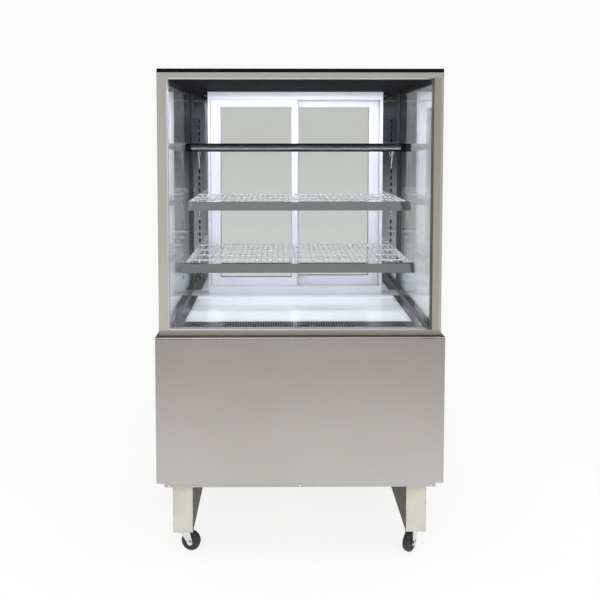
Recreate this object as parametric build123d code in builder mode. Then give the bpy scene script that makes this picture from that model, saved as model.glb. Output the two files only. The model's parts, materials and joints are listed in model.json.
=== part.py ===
from build123d import *
import os
from math import cos, radians, sin

# A floor-standing refrigerated food display: a glazed square cabinet with three wire shelves and a
# white deck, on a stainless-steel base that holds the cooling unit, carried by two side stands on
# castors. +X is to the customer's right, +Y runs from the front glass to the rear sliding doors, and
# +Z is up. The origin is on the floor, under the middle of the cabinet. All sizes are in millimetres.

# Overall sizes
base_width = 900.0
base_depth = 675.0
castor_height = 86.0
stand_height = 176.0
base_height = 474.0
upper_height = 830.0
upper_side_step = 9.0
front_setback = 20.0

# Sheet metal and clearances
sheet = 1.5
thick_sheet = 2.0
seat_gap = 0.3
running_gap = 1.0
pin_gap = 0.08

# Base cabinet
front_panel_lift = 13.0
front_panel_return = 22.0
panel_bend = 4.0
side_panel_return = 25.0
pan_flange = 30.0
screw_head = 4.0
screw_height = 1.5
screw_taper = 18.0
screw_rise = 6.5
screw_inset = 40.0

# Rear of the base
rear_strip_height = 130.0
louvre_end = 30.0
louvre_pitch = 30.0
louvre_margin = 85.0
louvre_gap = 70.0
louvre_opening = 12.0
louvre_hood = 7.0
controller_inset = 200.0
controller_width = 77.0
controller_height = 35.0
controller_bezel = 5.0
controller_edge = 1.25
controller_body_depth = 58.0
controller_body_width = 71.0
controller_body_height = 29.0
display_width = 34.0
display_height = 16.0
display_recess = 0.8
display_shift = -14.0
key_width = 12.0
key_height = 7.0
key_depth = 2.5
key_rise = 1.0
key_edge = 0.5
key_pocket = 3.0
key_spread = 14.0
key_shift = 22.0
switch_from_controller = 100.0
switch_width = 13.0
switch_height = 19.0
switch_wall = 1.2
switch_rim = 3.0
switch_bezel = 2.0
switch_edge = 1.0
switch_body_depth = 16.0
rocker_half_height = 7.0
rocker_crown = 3.2
rocker_dip = 1.8
rocker_root = 4.0
rocker_tilt = 9.0
gland_inset = 100.0
gland_radius = 11.0
gland_bore = 4.0
gland_barrel = 8.0
gland_nut = 5.0
gland_inside = 12.0

# Side stands and castors
stand_width = 64.0
stand_setback = 50.0
stand_inset = 43.0
plate_length = 76.0
plate_width = 56.0
plate_corner = 5.0
plate_thickness = 3.0
plate_hole = 3.5
plate_hole_spread_x = 38.0
plate_hole_spread_y = 58.0
race_radius = 20.0
race_height = 6.0
kingpin_radius = 5.0
kingpin_head = 8.0
kingpin_head_height = 2.5
castor_end_inset = 52.0
wheel_radius = 31.5
wheel_width = 24.0
wheel_shoulder = 5.0
wheel_crown = 1.5
hub_recess = 2.0
hub_boss = 7.0
axle_radius = 4.0
castor_trail = 20.0
cheek = 2.5
cheek_gap = 1.5
cheek_end = 9.5
crown_radius = 19.0
crown_sheet = 3.5
axle_head = 6.5
axle_head_height = 3.5
castor_turn = {"front_left": 348.0, "front_right": 230.0, "rear_left": 180.0, "rear_right": 205.0}

# Glazed cabinet
frame_side = 28.5
frame_rail = 16.0
frame_depth = 28.0
frame_lift = 2.0
frame_corner = 2.0
lid_thickness = 12.0
lid_edge = 1.0
seal_inset = 2.5
gasket = 3.0
pane = 5.0
pane_space = 12.0
glass_inset = 5.0
channel_rise = 6.0
channel_sheet = 2.0
spacer_width = 12.0
column_width = 94.0
column_depth = 80.0
column_corner = 3.0
slot_inset = 34.0
slot_width = 4.0
slot_height = 14.0
slot_pitch = 25.0
slot_end = 115.0
slot_start = 56.0

# Deck
tub_height = 146.0
tub_side_wall = 25.0
tub_front_wall = 40.0
tub_rear_gap = 68.5
tub_floor = 30.0
ledge_width = 30.5
deck_drop = 6.0
deck_flange = 4.0
deck_edge = 1.3
deck_front = 181.0
deck_rear_gap = 46.0
ledge_lip = 8.0
grille_end = 27.0
grille_slot_pitch = 8.4
grille_slot_width = 4.4
grille_slot_margin = 7.0

# Sliding doors
jamb = 9.0
door_frame_inset = 6.0
header_height = 46.0
sill_height = 26.0
track_depth = 11.0
header_pocket = 20.0
door_thickness = 22.0
door_track_pitch = 30.0
door_first_track = 21.0
door_overlap = 16.0
stile = 39.0
meeting_stile = 22.0
top_rail = 36.0
bottom_rail = 44.0
door_bead = 6.0
door_pane = 4.0
door_pane_space = 6.0
glass_bite = 8.0
door_top_play = 12.0
handle_length = 160.0
handle_width = 16.0
handle_end = 7.0
inner_handle_rise = 5.0
outer_handle_rise = 11.0
handle_edge = 1.6
handle_height = 400.0

# Shelves
shelf_overhang = 3.0
shelf_rear_gap = 8.0
wire = 1.75
wire_sides = 6
wire_pitch = 19.4
wire_lift = 1.2
rod = 3.0
rod_chamfer = 1.7
rim_corner = 14.0
cross_rod = 2.5
cross_rods = 3
cross_rod_gap = 0.1
strip_height = 28.0
strip_lean = 15.0
strip_flange = 16.0
strip_return = 7.0
strip_sheet = 1.2
bracket_sheet = 2.0
bracket_arm = 24.0
bracket_root = 92.0
bracket_above_slot = 12.0
bracket_curve = 80.0
bracket_nose = 12.0
bracket_reach = 30.0
hook_height = 9.0
hook_drop = 5.0
hook_thickness = 2.5
hook_slots = 3
shelves = {
    "bottom": {"slot": 5, "depth": 415.0},
    "middle": {"slot": 13, "depth": 350.0},
    "top": {"slot": 21, "depth": 350.0},
}

# Lamp under the lid
lamp_end_gap = 12.5
lamp_width = 30.0
lamp_height = 14.0
lamp_sheet = 1.5
diffuser_edge = 2.0
lamp_front_gap = 5.0

# Cooling unit under the deck
evaporator_end_gap = 80.0
evaporator_depth = 120.0
evaporator_height = 78.0
evaporator_fins = 22
evaporator_rear_gap = 29.5
fin = 1.6
fin_stand = 7.0
fan_plate_gap = 35.0
fan_plate_height = 103.0
fan_radius = 42.0
fan_hub = 13.0
fan_hub_depth = 16.0
fan_blade_width = 24.0
fan_tip_gap = 4.0
fan_arm = 6.0
motor_radius = 16.0
motor_depth = 22.0
shaft_radius = 3.0
blade_count = 5
blade_sheet = 1.5
blade_root_angle = 42.0
blade_tip_angle = 24.0
blade_clear = 2.0
blade_root_share = 0.6

# Condensing unit in the base
condenser_length = 300.0
condenser_depth = 50.0
condenser_height = 250.0
condenser_fins = 24
condenser_inset = 235.0
condenser_front_gap = 30.0
condenser_fan_radius = 100.0
condenser_hub = 22.0
condenser_hub_depth = 26.0
condenser_blade_width = 58.0
condenser_motor_radius = 36.0
condenser_motor_depth = 46.0
condenser_arm = 12.0
shroud_depth = 34.0
compressor_inset = 195.0
compressor_rear_gap = 269.0
compressor_radius = 78.0
compressor_height = 165.0
compressor_dome = 34.0
compressor_bottom_flat = 39.0
compressor_top_flat = 26.0
compressor_bottom_arc = 38.0
compressor_top_arc = 46.0
compressor_seam = 3.0
compressor_foot = 12.0
compressor_foot_radius = 12.0
compressor_foot_inset = 18.0
compressor_plate = 4.0
compressor_plate_width = 210.0
compressor_plate_depth = 170.0
terminal_box_width = 60.0
terminal_box_depth = 24.0
terminal_box_height = 56.0
stub_radius = 4.0
stub_length = 26.0
tray_length = 260.0
tray_width = 200.0
tray_height = 50.0
tray_wall = 3.0
tray_inset = 195.0
tray_rear_gap = 179.0

# Places worked out from the sizes above
front_y = -base_depth / 2
rear_y = base_depth / 2
base_bottom = castor_height + stand_height
base_top = base_bottom + base_height
cabinet_top = base_top + upper_height
panel_bottom = base_bottom + front_panel_lift
pan_half = base_width / 2 - side_panel_return
pan_floor = base_bottom + thick_sheet
side_front_y = front_y + front_panel_return
screw_half = base_width / 2 - screw_inset
stand_half = base_width / 2 - stand_inset
rear_panel_y = rear_y - louvre_hood
rear_panel_inner_y = rear_panel_y - sheet
rear_split_z = base_top - rear_strip_height
strip_middle_z = (rear_split_z + base_top) / 2
louvre_length = base_width / 2 - louvre_margin - louvre_gap / 2
louvre_x = (louvre_gap + louvre_length) / 2
louvre_rows = int((rear_split_z - base_bottom - 2 * louvre_end) / louvre_pitch)
controller_x = controller_inset - base_width / 2
switch_x = controller_x + switch_from_controller
gland_x = base_width / 2 - gland_inset
upper_half = base_width / 2 - upper_side_step
upper_front_y = front_y + front_setback
frame_back_y = upper_front_y + frame_depth
frame_bottom = base_top + frame_lift
lid_bottom = cabinet_top - lid_thickness
opening_half = upper_half - frame_side
opening_bottom = frame_bottom + frame_rail
opening_top = lid_bottom - frame_rail
column_front_y = rear_panel_y - column_depth
column_inner = upper_half - column_width
slot_x = column_inner + slot_inset
slot_count = int((upper_height - slot_start - slot_end) / slot_pitch)
shelf_width = 2 * (slot_x + shelf_overhang)
glass_outer = upper_half - glass_inset
glass_thickness = 2 * pane + pane_space
glass_inner = glass_outer - glass_thickness
glass_bottom = frame_bottom + channel_sheet
front_glass_y = frame_back_y - glass_thickness
tub_bottom = base_top - tub_height
tub_floor_z = tub_bottom + tub_floor
tub_inner = pan_half - tub_side_wall
tub_inner_front_y = side_front_y + tub_front_wall
tub_rear_y = rear_panel_y - tub_rear_gap
deck_top = base_top - deck_drop
deck_half = opening_half - ledge_width
deck_front_y = front_y + deck_front
deck_rear_y = column_front_y - deck_rear_gap
lip_top = deck_top - deck_flange
grille_slots = int((2 * deck_half - 2 * grille_end) / grille_slot_pitch)
sill_top = base_top + sill_height
track_z = sill_top - track_depth
header_z = lid_bottom - header_height
door_frame_y = column_front_y + door_frame_inset
door_half = column_inner - jamb
door_bottom = track_z + seat_gap
door_top = header_z + header_pocket - door_top_play
inner_door_y = door_frame_y + door_first_track
outer_door_y = inner_door_y + door_track_pitch
shelf_rear_y = column_front_y - shelf_rear_gap
evaporator_length = 2 * (tub_inner - evaporator_end_gap)
evaporator_y = deck_rear_y - evaporator_rear_gap - evaporator_depth / 2
fan_plate_y = evaporator_y - evaporator_depth / 2 - fan_plate_gap
condenser_x = pan_half - condenser_inset
condenser_y = side_front_y + condenser_front_gap + condenser_depth / 2
compressor_x = compressor_inset - pan_half
compressor_y = rear_panel_inner_y - compressor_rear_gap
tray_x = pan_half - tray_inset
tray_y = rear_panel_inner_y - tray_rear_gap

os.makedirs("parts", exist_ok=True)


def save(piece, name):
    """Labels a finished piece and writes it to its own STEP file."""
    piece.part.label = name
    export_step(piece.part, f"parts/{name}.step")


def block(corner, opposite, mode=Mode.ADD):
    """A box between two opposite corners, in the part that is being built."""
    centre = tuple((a + b) / 2 for a, b in zip(corner, opposite))
    size = tuple(abs(b - a) for a, b in zip(corner, opposite))
    with Locations(centre):
        Box(*size, mode=mode)


def slot_z(number):
    """The lower edge of a numbered slot in the rear columns, counted from the bottom."""
    return base_top + slot_start + number * slot_pitch


def shelf_bottom_z(shelf):
    """The height of the bracket's upper edge, on which a shelf's rim lies."""
    return slot_z(shelf["slot"]) + bracket_above_slot


# Base cabinet


def make_front_panel():
    """One folded sheet: the face, two side returns and the top return, open behind and below."""
    half = base_width / 2
    with BuildPart() as front_panel:
        block((-half, front_y, panel_bottom), (half, side_front_y, base_top))
        face_edges = front_panel.faces().sort_by(Axis.Y)[0].edges()
        fillet(face_edges.filter_by(Axis.Z) + face_edges.sort_by(Axis.Z)[-1:], panel_bend)
        behind = front_panel.faces().sort_by(Axis.Y)[-1]
        below = front_panel.faces().sort_by(Axis.Z)[0]
        offset(amount=-sheet, openings=[behind, below])
    save(front_panel, "front_panel")


def make_side_panels():
    """Each side of the base is a shallow pan whose four returns point inwards."""
    for side, name in ((-1, "left_side_panel"), (1, "right_side_panel")):
        outer = side * base_width / 2
        skin = side * (base_width / 2 - sheet)
        inner = side * pan_half
        with BuildPart() as side_panel:
            block((inner, side_front_y, base_bottom), (outer, rear_panel_inner_y, base_top))
            block(
                (inner, side_front_y + sheet, base_bottom + sheet),
                (skin, rear_panel_inner_y - sheet, base_top - sheet),
                mode=Mode.SUBTRACT,
            )
        save(side_panel, name)


def make_base_pan():
    """The floor of the cooling-unit bay, a tray whose front flange shows below the front panel."""
    front = front_y + sheet
    back = rear_panel_inner_y
    with BuildPart() as base_pan:
        block((-pan_half, front, base_bottom), (pan_half, back, base_bottom + pan_flange))
        block(
            (-pan_half + thick_sheet, front + thick_sheet, pan_floor),
            (pan_half - thick_sheet, back - thick_sheet, base_bottom + pan_flange),
            mode=Mode.SUBTRACT,
        )
    save(base_pan, "base_pan")


def make_panel_screws():
    """Pan-head screws: three in the base pan's front flange, four in the rear louvred panel."""
    front_places = [(x, base_bottom + screw_rise) for x in (-screw_half, 0, screw_half)]
    rear_places = [
        (x, z)
        for x in (-screw_half, screw_half)
        for z in (base_bottom + 2 * screw_rise, rear_split_z - 2 * screw_rise)
    ]
    with BuildPart() as panel_screws:
        with BuildSketch(Plane.XZ.offset(-front_y - sheet)):
            with Locations(*front_places):
                Circle(screw_head)
        extrude(amount=screw_height, taper=screw_taper)
        with BuildSketch(Plane.XZ.offset(-rear_panel_y)):
            with Locations(*rear_places):
                Circle(screw_head)
        extrude(amount=-screw_height, taper=screw_taper)
    save(panel_screws, "panel_screws")


def make_louvred_panel():
    """The removable panel of the cooling-unit bay, with two columns of pressed louvres."""
    half = base_width / 2
    middle = (base_bottom + rear_split_z) / 2
    with BuildPart() as louvred_panel:
        block((-half, rear_panel_inner_y, base_bottom), (half, rear_panel_y, rear_split_z - seat_gap))
        for row in range(louvre_rows):
            z = middle + (row - (louvre_rows - 1) / 2) * louvre_pitch
            for x in (-louvre_x, louvre_x):
                low = x - louvre_length / 2
                with BuildSketch(Plane.YZ.offset(low)):
                    with BuildLine():
                        Polyline(
                            (rear_panel_y, z + louvre_opening),
                            (rear_y, z),
                            (rear_y, z - sheet),
                            (rear_y - sheet, z - sheet),
                            (rear_panel_y, z + louvre_opening - 2 * sheet),
                            close=True,
                        )
                    make_face()
                extrude(amount=louvre_length)
                block(
                    (low, rear_panel_inner_y, z - sheet),
                    (low + louvre_length, rear_panel_y, z + louvre_opening - 2 * sheet),
                    mode=Mode.SUBTRACT,
                )
    save(louvred_panel, "rear_louvred_panel")


def make_control_panel():
    """The strip above the louvres: a face with its cut-outs, and a top flange under the door sill."""
    half = base_width / 2
    with BuildPart() as control_panel:
        block((-half, rear_panel_inner_y, rear_split_z), (half, rear_panel_y, base_top))
        block(
            (-pan_half, tub_rear_y, base_top - sheet),
            (pan_half, rear_panel_inner_y, base_top),
        )
        with BuildSketch(Plane.XZ.offset(-rear_panel_y)):
            with Locations((controller_x, strip_middle_z)):
                Rectangle(controller_body_width + 2 * seat_gap, controller_body_height + 2 * seat_gap)
            with Locations((switch_x, strip_middle_z)):
                Rectangle(switch_width + 2 * seat_gap, switch_height + 2 * seat_gap)
            with Locations((gland_x, strip_middle_z)):
                Circle(gland_barrel + seat_gap)
        extrude(amount=sheet, mode=Mode.SUBTRACT)
    save(control_panel, "control_panel")


def make_controller():
    """The electronic thermostat: a bezel with a display window and two keys on springs."""
    face_y = rear_panel_y + controller_bezel
    key_places = {
        "controller_up_key": (controller_x + key_shift, strip_middle_z + key_spread / 2),
        "controller_down_key": (controller_x + key_shift, strip_middle_z - key_spread / 2),
    }
    bezel_half = (controller_width / 2, controller_height / 2)
    body_half = (controller_body_width / 2, controller_body_height / 2)
    with BuildPart() as controller:
        block(
            (controller_x - bezel_half[0], rear_panel_y, strip_middle_z - bezel_half[1]),
            (controller_x + bezel_half[0], face_y, strip_middle_z + bezel_half[1]),
        )
        chamfer(controller.faces().sort_by(Axis.Y)[-1].edges(), controller_edge)
        body_back_y = rear_panel_y - controller_body_depth
        block(
            (controller_x - body_half[0], body_back_y, strip_middle_z - body_half[1]),
            (controller_x + body_half[0], rear_panel_y, strip_middle_z + body_half[1]),
        )
        with BuildSketch(Plane.XZ.offset(-face_y)):
            with Locations((controller_x + display_shift, strip_middle_z)):
                Rectangle(display_width, display_height)
        extrude(amount=display_recess, mode=Mode.SUBTRACT)
        with BuildSketch(Plane.XZ.offset(-face_y)):
            with Locations(*key_places.values()):
                Rectangle(key_width + 2 * seat_gap, key_height + 2 * seat_gap)
        extrude(amount=key_pocket, mode=Mode.SUBTRACT)
    save(controller, "controller")

    for name, place in key_places.items():
        with BuildPart() as key:
            with BuildSketch(Plane.XZ.offset(-face_y - key_rise)):
                with Locations(place):
                    Rectangle(key_width, key_height)
            extrude(amount=key_depth)
            fillet(key.faces().sort_by(Axis.Y)[-1].edges(), key_edge)
        save(key, name)


def make_light_switch():
    """A snap-in rocker switch: the housing, and the rocker on its pivot, tilted to one side."""
    half = (switch_width / 2, switch_height / 2)
    face_y = rear_panel_y + switch_bezel
    with BuildPart() as switch_housing:
        block(
            (switch_x - half[0] - switch_rim, rear_panel_y, strip_middle_z - half[1] - switch_rim),
            (switch_x + half[0] + switch_rim, face_y, strip_middle_z + half[1] + switch_rim),
        )
        chamfer(switch_housing.faces().sort_by(Axis.Y)[-1].edges(), switch_edge)
        block(
            (switch_x - half[0], rear_panel_y - switch_body_depth, strip_middle_z - half[1]),
            (switch_x + half[0], rear_panel_y, strip_middle_z + half[1]),
        )
        block(
            (
                switch_x - half[0] + switch_wall,
                rear_panel_y - switch_body_depth / 2,
                strip_middle_z - half[1] + switch_wall,
            ),
            (switch_x + half[0] - switch_wall, face_y, strip_middle_z + half[1] - switch_wall),
            mode=Mode.SUBTRACT,
        )
    save(switch_housing, "switch_housing")

    half_width = half[0] - switch_wall - seat_gap
    tilt = radians(rocker_tilt)
    side_face = Plane(
        origin=(switch_x - half_width, rear_panel_y, strip_middle_z),
        x_dir=(0, cos(tilt), sin(tilt)),
        z_dir=(1, 0, 0),
    )
    with BuildPart() as rocker:
        with BuildSketch(side_face):
            with BuildLine():
                Polyline(
                    (rocker_crown, -rocker_half_height),
                    (rocker_dip, 0),
                    (rocker_crown, rocker_half_height),
                    (0, rocker_half_height),
                    (-rocker_root, 0),
                    (0, -rocker_half_height),
                    close=True,
                )
            make_face()
        extrude(amount=2 * half_width)
    save(rocker, "light_switch")


def make_cable_gland():
    """The mains inlet: a hexagon outside, a barrel through the panel and a locknut inside."""
    with BuildPart() as cable_gland:
        with BuildSketch(Plane.XZ.offset(-rear_panel_y)):
            with Locations((gland_x, strip_middle_z)):
                RegularPolygon(gland_radius, 6)
        extrude(amount=-gland_nut)
        chamfer(cable_gland.faces().sort_by(Axis.Y)[-1].edges(), running_gap)
        with BuildSketch(Plane.XZ.offset(-rear_panel_y)):
            with Locations((gland_x, strip_middle_z)):
                Circle(gland_barrel)
        extrude(amount=gland_inside)
        with BuildSketch(Plane.XZ.offset(-rear_panel_inner_y)):
            with Locations((gland_x, strip_middle_z)):
                RegularPolygon(gland_radius, 6)
        extrude(amount=gland_nut)
        with BuildSketch(Plane.XZ.offset(-rear_y)):
            with Locations((gland_x, strip_middle_z)):
                Circle(gland_bore)
        extrude(amount=louvre_hood + gland_inside, mode=Mode.SUBTRACT)
    save(cable_gland, "cable_gland")


make_front_panel()
make_side_panels()
make_base_pan()
make_panel_screws()
make_louvred_panel()
make_control_panel()
make_controller()
make_light_switch()
make_cable_gland()


# Side stands and castors


def make_stands():
    """Each stand is a deep folded channel along one side of the base, open towards the outside."""
    front = front_y + stand_setback
    back = rear_y - stand_setback
    for side, name in ((-1, "left_stand"), (1, "right_stand")):
        outer = side * stand_half
        inner = side * (stand_half - stand_width)
        web = side * (stand_half - stand_width + thick_sheet)
        with BuildPart() as stand:
            block((inner, front, castor_height), (outer, back, base_bottom))
            block(
                (web, front + thick_sheet, castor_height + thick_sheet),
                (outer, back - thick_sheet, base_bottom - thick_sheet),
                mode=Mode.SUBTRACT,
            )
        save(stand, name)


castor_x = stand_half - stand_width / 2
castor_y = base_depth / 2 - stand_setback - castor_end_inset
castor_places = {
    "front_left": (-castor_x, -castor_y),
    "front_right": (castor_x, -castor_y),
    "rear_left": (-castor_x, castor_y),
    "rear_right": (castor_x, castor_y),
}
plate_bottom = castor_height - plate_thickness
race_bottom = plate_bottom - race_height
crown_top = race_bottom - seat_gap
crown_bottom = crown_top - crown_sheet


def make_castor_plates():
    """The four fixed castor plates, each with its ball race and the kingpin that holds the fork."""
    kingpin_bottom = crown_bottom - seat_gap - kingpin_head_height
    with BuildPart() as castor_plates:
        with BuildSketch(Plane.XY.offset(plate_bottom)):
            with Locations(*castor_places.values()):
                RectangleRounded(plate_width, plate_length, plate_corner)
                with GridLocations(plate_hole_spread_x, plate_hole_spread_y, 2, 2):
                    Circle(plate_hole, mode=Mode.SUBTRACT)
        extrude(amount=plate_thickness)
        with BuildSketch(Plane.XY.offset(race_bottom)):
            with Locations(*castor_places.values()):
                Circle(race_radius)
        extrude(amount=race_height)
        with BuildSketch(Plane.XY.offset(kingpin_bottom)):
            with Locations(*castor_places.values()):
                Circle(kingpin_radius)
        extrude(amount=race_bottom - kingpin_bottom)
        with BuildSketch(Plane.XY.offset(kingpin_bottom)):
            with Locations(*castor_places.values()):
                Circle(kingpin_head)
        extrude(amount=kingpin_head_height)
    save(castor_plates, "castor_top_plates")


def turned_plane(name, forward, height):
    """A level plane on a castor's swivel axis, turned with the castor, shifted along its trail."""
    x, y = castor_places[name]
    turn = radians(castor_turn[name])
    origin = (x + forward * cos(turn), y + forward * sin(turn), height)
    return Plane(origin=origin, x_dir=(cos(turn), sin(turn), 0), z_dir=(0, 0, 1))


def upright_plane(name, sideways):
    """The plane of a castor's cheek: +X along the trail, +Y up, from the swivel axis at floor level."""
    level = turned_plane(name, 0, 0)
    return Plane(origin=level.origin - level.y_dir * sideways, x_dir=level.x_dir, z_dir=-level.y_dir)


def make_castor_fork(name):
    """A pressed fork under its ball race, with the riveted axle that carries the wheel."""
    inside = wheel_width / 2 + cheek_gap
    outside = inside + cheek
    with BuildPart() as fork:
        with BuildSketch(turned_plane(name, 0, crown_bottom)):
            Circle(crown_radius)
            Rectangle(2 * crown_radius, 2 * outside)
            Circle(kingpin_radius + pin_gap, mode=Mode.SUBTRACT)
        extrude(amount=crown_sheet)
        for sideways in (-outside, inside):
            with BuildSketch(upright_plane(name, sideways)):
                with BuildLine():
                    Polyline(
                        (castor_trail - cheek_end, wheel_radius),
                        (-crown_radius, crown_bottom),
                        (crown_radius, crown_bottom),
                        (castor_trail + cheek_end, wheel_radius),
                    )
                    RadiusArc(
                        (castor_trail + cheek_end, wheel_radius),
                        (castor_trail - cheek_end, wheel_radius),
                        cheek_end,
                    )
                make_face()
            extrude(amount=cheek)
        with BuildSketch(upright_plane(name, -outside - axle_head_height)):
            with Locations((castor_trail, wheel_radius)):
                Circle(axle_radius)
        extrude(amount=2 * (outside + axle_head_height))
        for sideways in (-outside - axle_head_height, outside):
            with BuildSketch(upright_plane(name, sideways)):
                with Locations((castor_trail, wheel_radius)):
                    RegularPolygon(axle_head, 6)
            extrude(amount=axle_head_height)
    save(fork, f"castor_fork_{name}")


def make_castor_wheel(name):
    """A moulded wheel with a rounded tread, a recessed web and a hub that runs on the axle."""
    half = wheel_width / 2
    hub_half = half + cheek_gap - seat_gap
    centre = turned_plane(name, castor_trail, wheel_radius)
    with BuildPart() as wheel:
        with BuildSketch(Plane(origin=centre.origin, x_dir=centre.x_dir, z_dir=centre.z_dir)):
            with BuildLine():
                Polyline(
                    (axle_radius + pin_gap, hub_half),
                    (hub_boss, hub_half),
                    (hub_boss, half - hub_recess),
                    (wheel_radius - 2 * wheel_shoulder, half - hub_recess),
                    (wheel_radius - 2 * wheel_shoulder, half),
                    (wheel_radius - wheel_shoulder, half),
                )
                Polyline(
                    (wheel_radius - wheel_shoulder, half),
                    (wheel_radius - wheel_crown, half - wheel_crown),
                    (wheel_radius, half - wheel_shoulder),
                    (wheel_radius, wheel_shoulder - half),
                    (wheel_radius - wheel_crown, wheel_crown - half),
                    (wheel_radius - wheel_shoulder, -half),
                )
                Polyline(
                    (wheel_radius - wheel_shoulder, -half),
                    (wheel_radius - 2 * wheel_shoulder, -half),
                    (wheel_radius - 2 * wheel_shoulder, hub_recess - half),
                    (hub_boss, hub_recess - half),
                    (hub_boss, -hub_half),
                    (axle_radius + pin_gap, -hub_half),
                    (axle_radius + pin_gap, hub_half),
                )
            make_face()
        revolve(axis=Axis(centre.origin, centre.y_dir))
    save(wheel, f"castor_wheel_{name}")


make_stands()
make_castor_plates()
for castor in castor_places:
    make_castor_fork(castor)
    make_castor_wheel(castor)


# Glazed cabinet


def make_display_frame():
    """The welded stainless frame: the front ring, the side top rails and the side glass channels."""
    with BuildPart() as display_frame:
        block((-upper_half, upper_front_y, frame_bottom), (upper_half, frame_back_y, lid_bottom))
        fillet(display_frame.edges().filter_by(Axis.Z).group_by(Axis.Y)[0], frame_corner)
        block(
            (-opening_half, upper_front_y, opening_bottom),
            (opening_half, frame_back_y, opening_top),
            mode=Mode.SUBTRACT,
        )
        for side in (-1, 1):
            outer = side * upper_half
            inner = side * opening_half
            block((side * glass_outer, frame_back_y, opening_top), (outer, column_front_y, lid_bottom))
            block((inner, frame_back_y, frame_bottom), (outer, column_front_y, glass_bottom + channel_rise))
            block(
                (side * glass_inner, frame_back_y, glass_bottom),
                (side * glass_outer, column_front_y, glass_bottom + channel_rise),
                mode=Mode.SUBTRACT,
            )
    save(display_frame, "display_frame")


def make_lid():
    """The black top, whose thicker middle is the ceiling between the rails, with the lamp let in."""
    with BuildPart() as lid:
        block((-upper_half, upper_front_y, lid_bottom), (upper_half, rear_panel_y, cabinet_top))
        fillet(lid.edges().filter_by(Axis.Z), frame_corner)
        chamfer(lid.faces().sort_by(Axis.Z)[-1].edges(), lid_edge)
        block((-glass_outer, frame_back_y, opening_top), (glass_outer, column_front_y, lid_bottom))
        lamp_end = opening_half - lamp_end_gap + seat_gap
        lamp_front = frame_back_y + lamp_front_gap - seat_gap
        block(
            (-lamp_end, lamp_front, opening_top),
            (lamp_end, lamp_front + lamp_width + 2 * seat_gap, lid_bottom),
            mode=Mode.SUBTRACT,
        )
    save(lid, "lid")


def make_seals():
    """The black rubber: the front glass gasket, the base seal, and the side glass edge spacers."""
    with BuildPart() as seals:
        block(
            (-opening_half, front_glass_y, opening_bottom),
            (opening_half, frame_back_y, opening_top),
        )
        block(
            (-opening_half + gasket, front_glass_y, opening_bottom + gasket),
            (opening_half - gasket, frame_back_y, opening_top - gasket),
            mode=Mode.SUBTRACT,
        )
        seal_half = upper_half - seal_inset
        seal_front_y = upper_front_y + seal_inset
        block((-seal_half, seal_front_y, base_top), (seal_half, rear_panel_y - seal_inset, frame_bottom))
        block(
            (-opening_half, frame_back_y, base_top),
            (opening_half, rear_panel_y, frame_bottom),
            mode=Mode.SUBTRACT,
        )
        for side in (-1, 1):
            low_x = side * (glass_inner + pane)
            high_x = side * (glass_outer - pane)
            block((low_x, frame_back_y, glass_bottom), (high_x, column_front_y, opening_top))
            block(
                (low_x, frame_back_y + spacer_width, glass_bottom + spacer_width),
                (high_x, column_front_y - spacer_width, opening_top - spacer_width),
                mode=Mode.SUBTRACT,
            )
    save(seals, "glazing_seals")


def make_glass():
    """Sealed double glazing: two panes in front, and two on each side between rail and channel."""
    with BuildPart() as front_glass:
        for pane_y in (front_glass_y, frame_back_y - pane):
            block(
                (-opening_half + gasket, pane_y, opening_bottom + gasket),
                (opening_half - gasket, pane_y + pane, opening_top - gasket),
            )
    save(front_glass, "front_glass")
    for side, name in ((-1, "left_side_glass"), (1, "right_side_glass")):
        with BuildPart() as side_glass:
            for pane_x in (glass_inner, glass_outer - pane):
                block(
                    (side * pane_x, frame_back_y, glass_bottom),
                    (side * (pane_x + pane), column_front_y, opening_top),
                )
        save(side_glass, name)


def make_columns():
    """The rear corner columns, folded from mirror sheet, with a row of slots for the brackets."""
    for side, name in ((-1, "left_column"), (1, "right_column")):
        with BuildPart() as column:
            block(
                (side * column_inner, column_front_y, frame_bottom),
                (side * upper_half, rear_panel_y, lid_bottom),
            )
            outer_edges = column.edges().filter_by(Axis.Z).group_by(Axis.Y)[-1]
            fillet(outer_edges, column_corner)
            ends = column.faces().filter_by(Axis.Z)
            offset(amount=-sheet, openings=[ends[0], ends[-1]])
            with BuildSketch(Plane.XZ.offset(-column_front_y)):
                for number in range(slot_count):
                    with Locations((side * slot_x, slot_z(number) + slot_height / 2)):
                        Rectangle(slot_width, slot_height)
            extrude(amount=-sheet, mode=Mode.SUBTRACT)
        save(column, name)


make_display_frame()
make_lid()
make_seals()
make_glass()
make_columns()


# Deck


def make_tub():
    """The insulated tub under the deck, foam between white skins, which holds the evaporator."""
    with BuildPart() as tub:
        block((-pan_half, side_front_y, tub_bottom), (pan_half, tub_rear_y, base_top))
        block(
            (-tub_inner, tub_inner_front_y, tub_floor_z),
            (tub_inner, deck_rear_y + seat_gap, base_top),
            mode=Mode.SUBTRACT,
        )
    save(tub, "insulated_tub")


def make_side_ledges():
    """The stainless rails beside the deck: a top, a drop and a lip that carries deck and grille."""
    outer = opening_half - seat_gap
    drop = deck_half + seat_gap
    rise = lip_top - thick_sheet
    with BuildPart() as side_ledges:
        for side in (-1, 1):
            with BuildSketch(Plane.XZ.offset(-tub_inner_front_y)):
                with BuildLine():
                    Polyline(
                        (side * outer, base_top),
                        (side * outer, base_top + sheet),
                        (side * drop, base_top + sheet),
                        (side * drop, lip_top),
                        (side * (drop - ledge_lip), lip_top),
                        (side * (drop - ledge_lip), rise),
                        (side * (drop + sheet), rise),
                        (side * (drop + sheet), base_top),
                        close=True,
                    )
                make_face()
            extrude(amount=tub_inner_front_y - deck_rear_y)
    save(side_ledges, "side_ledges")


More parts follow.
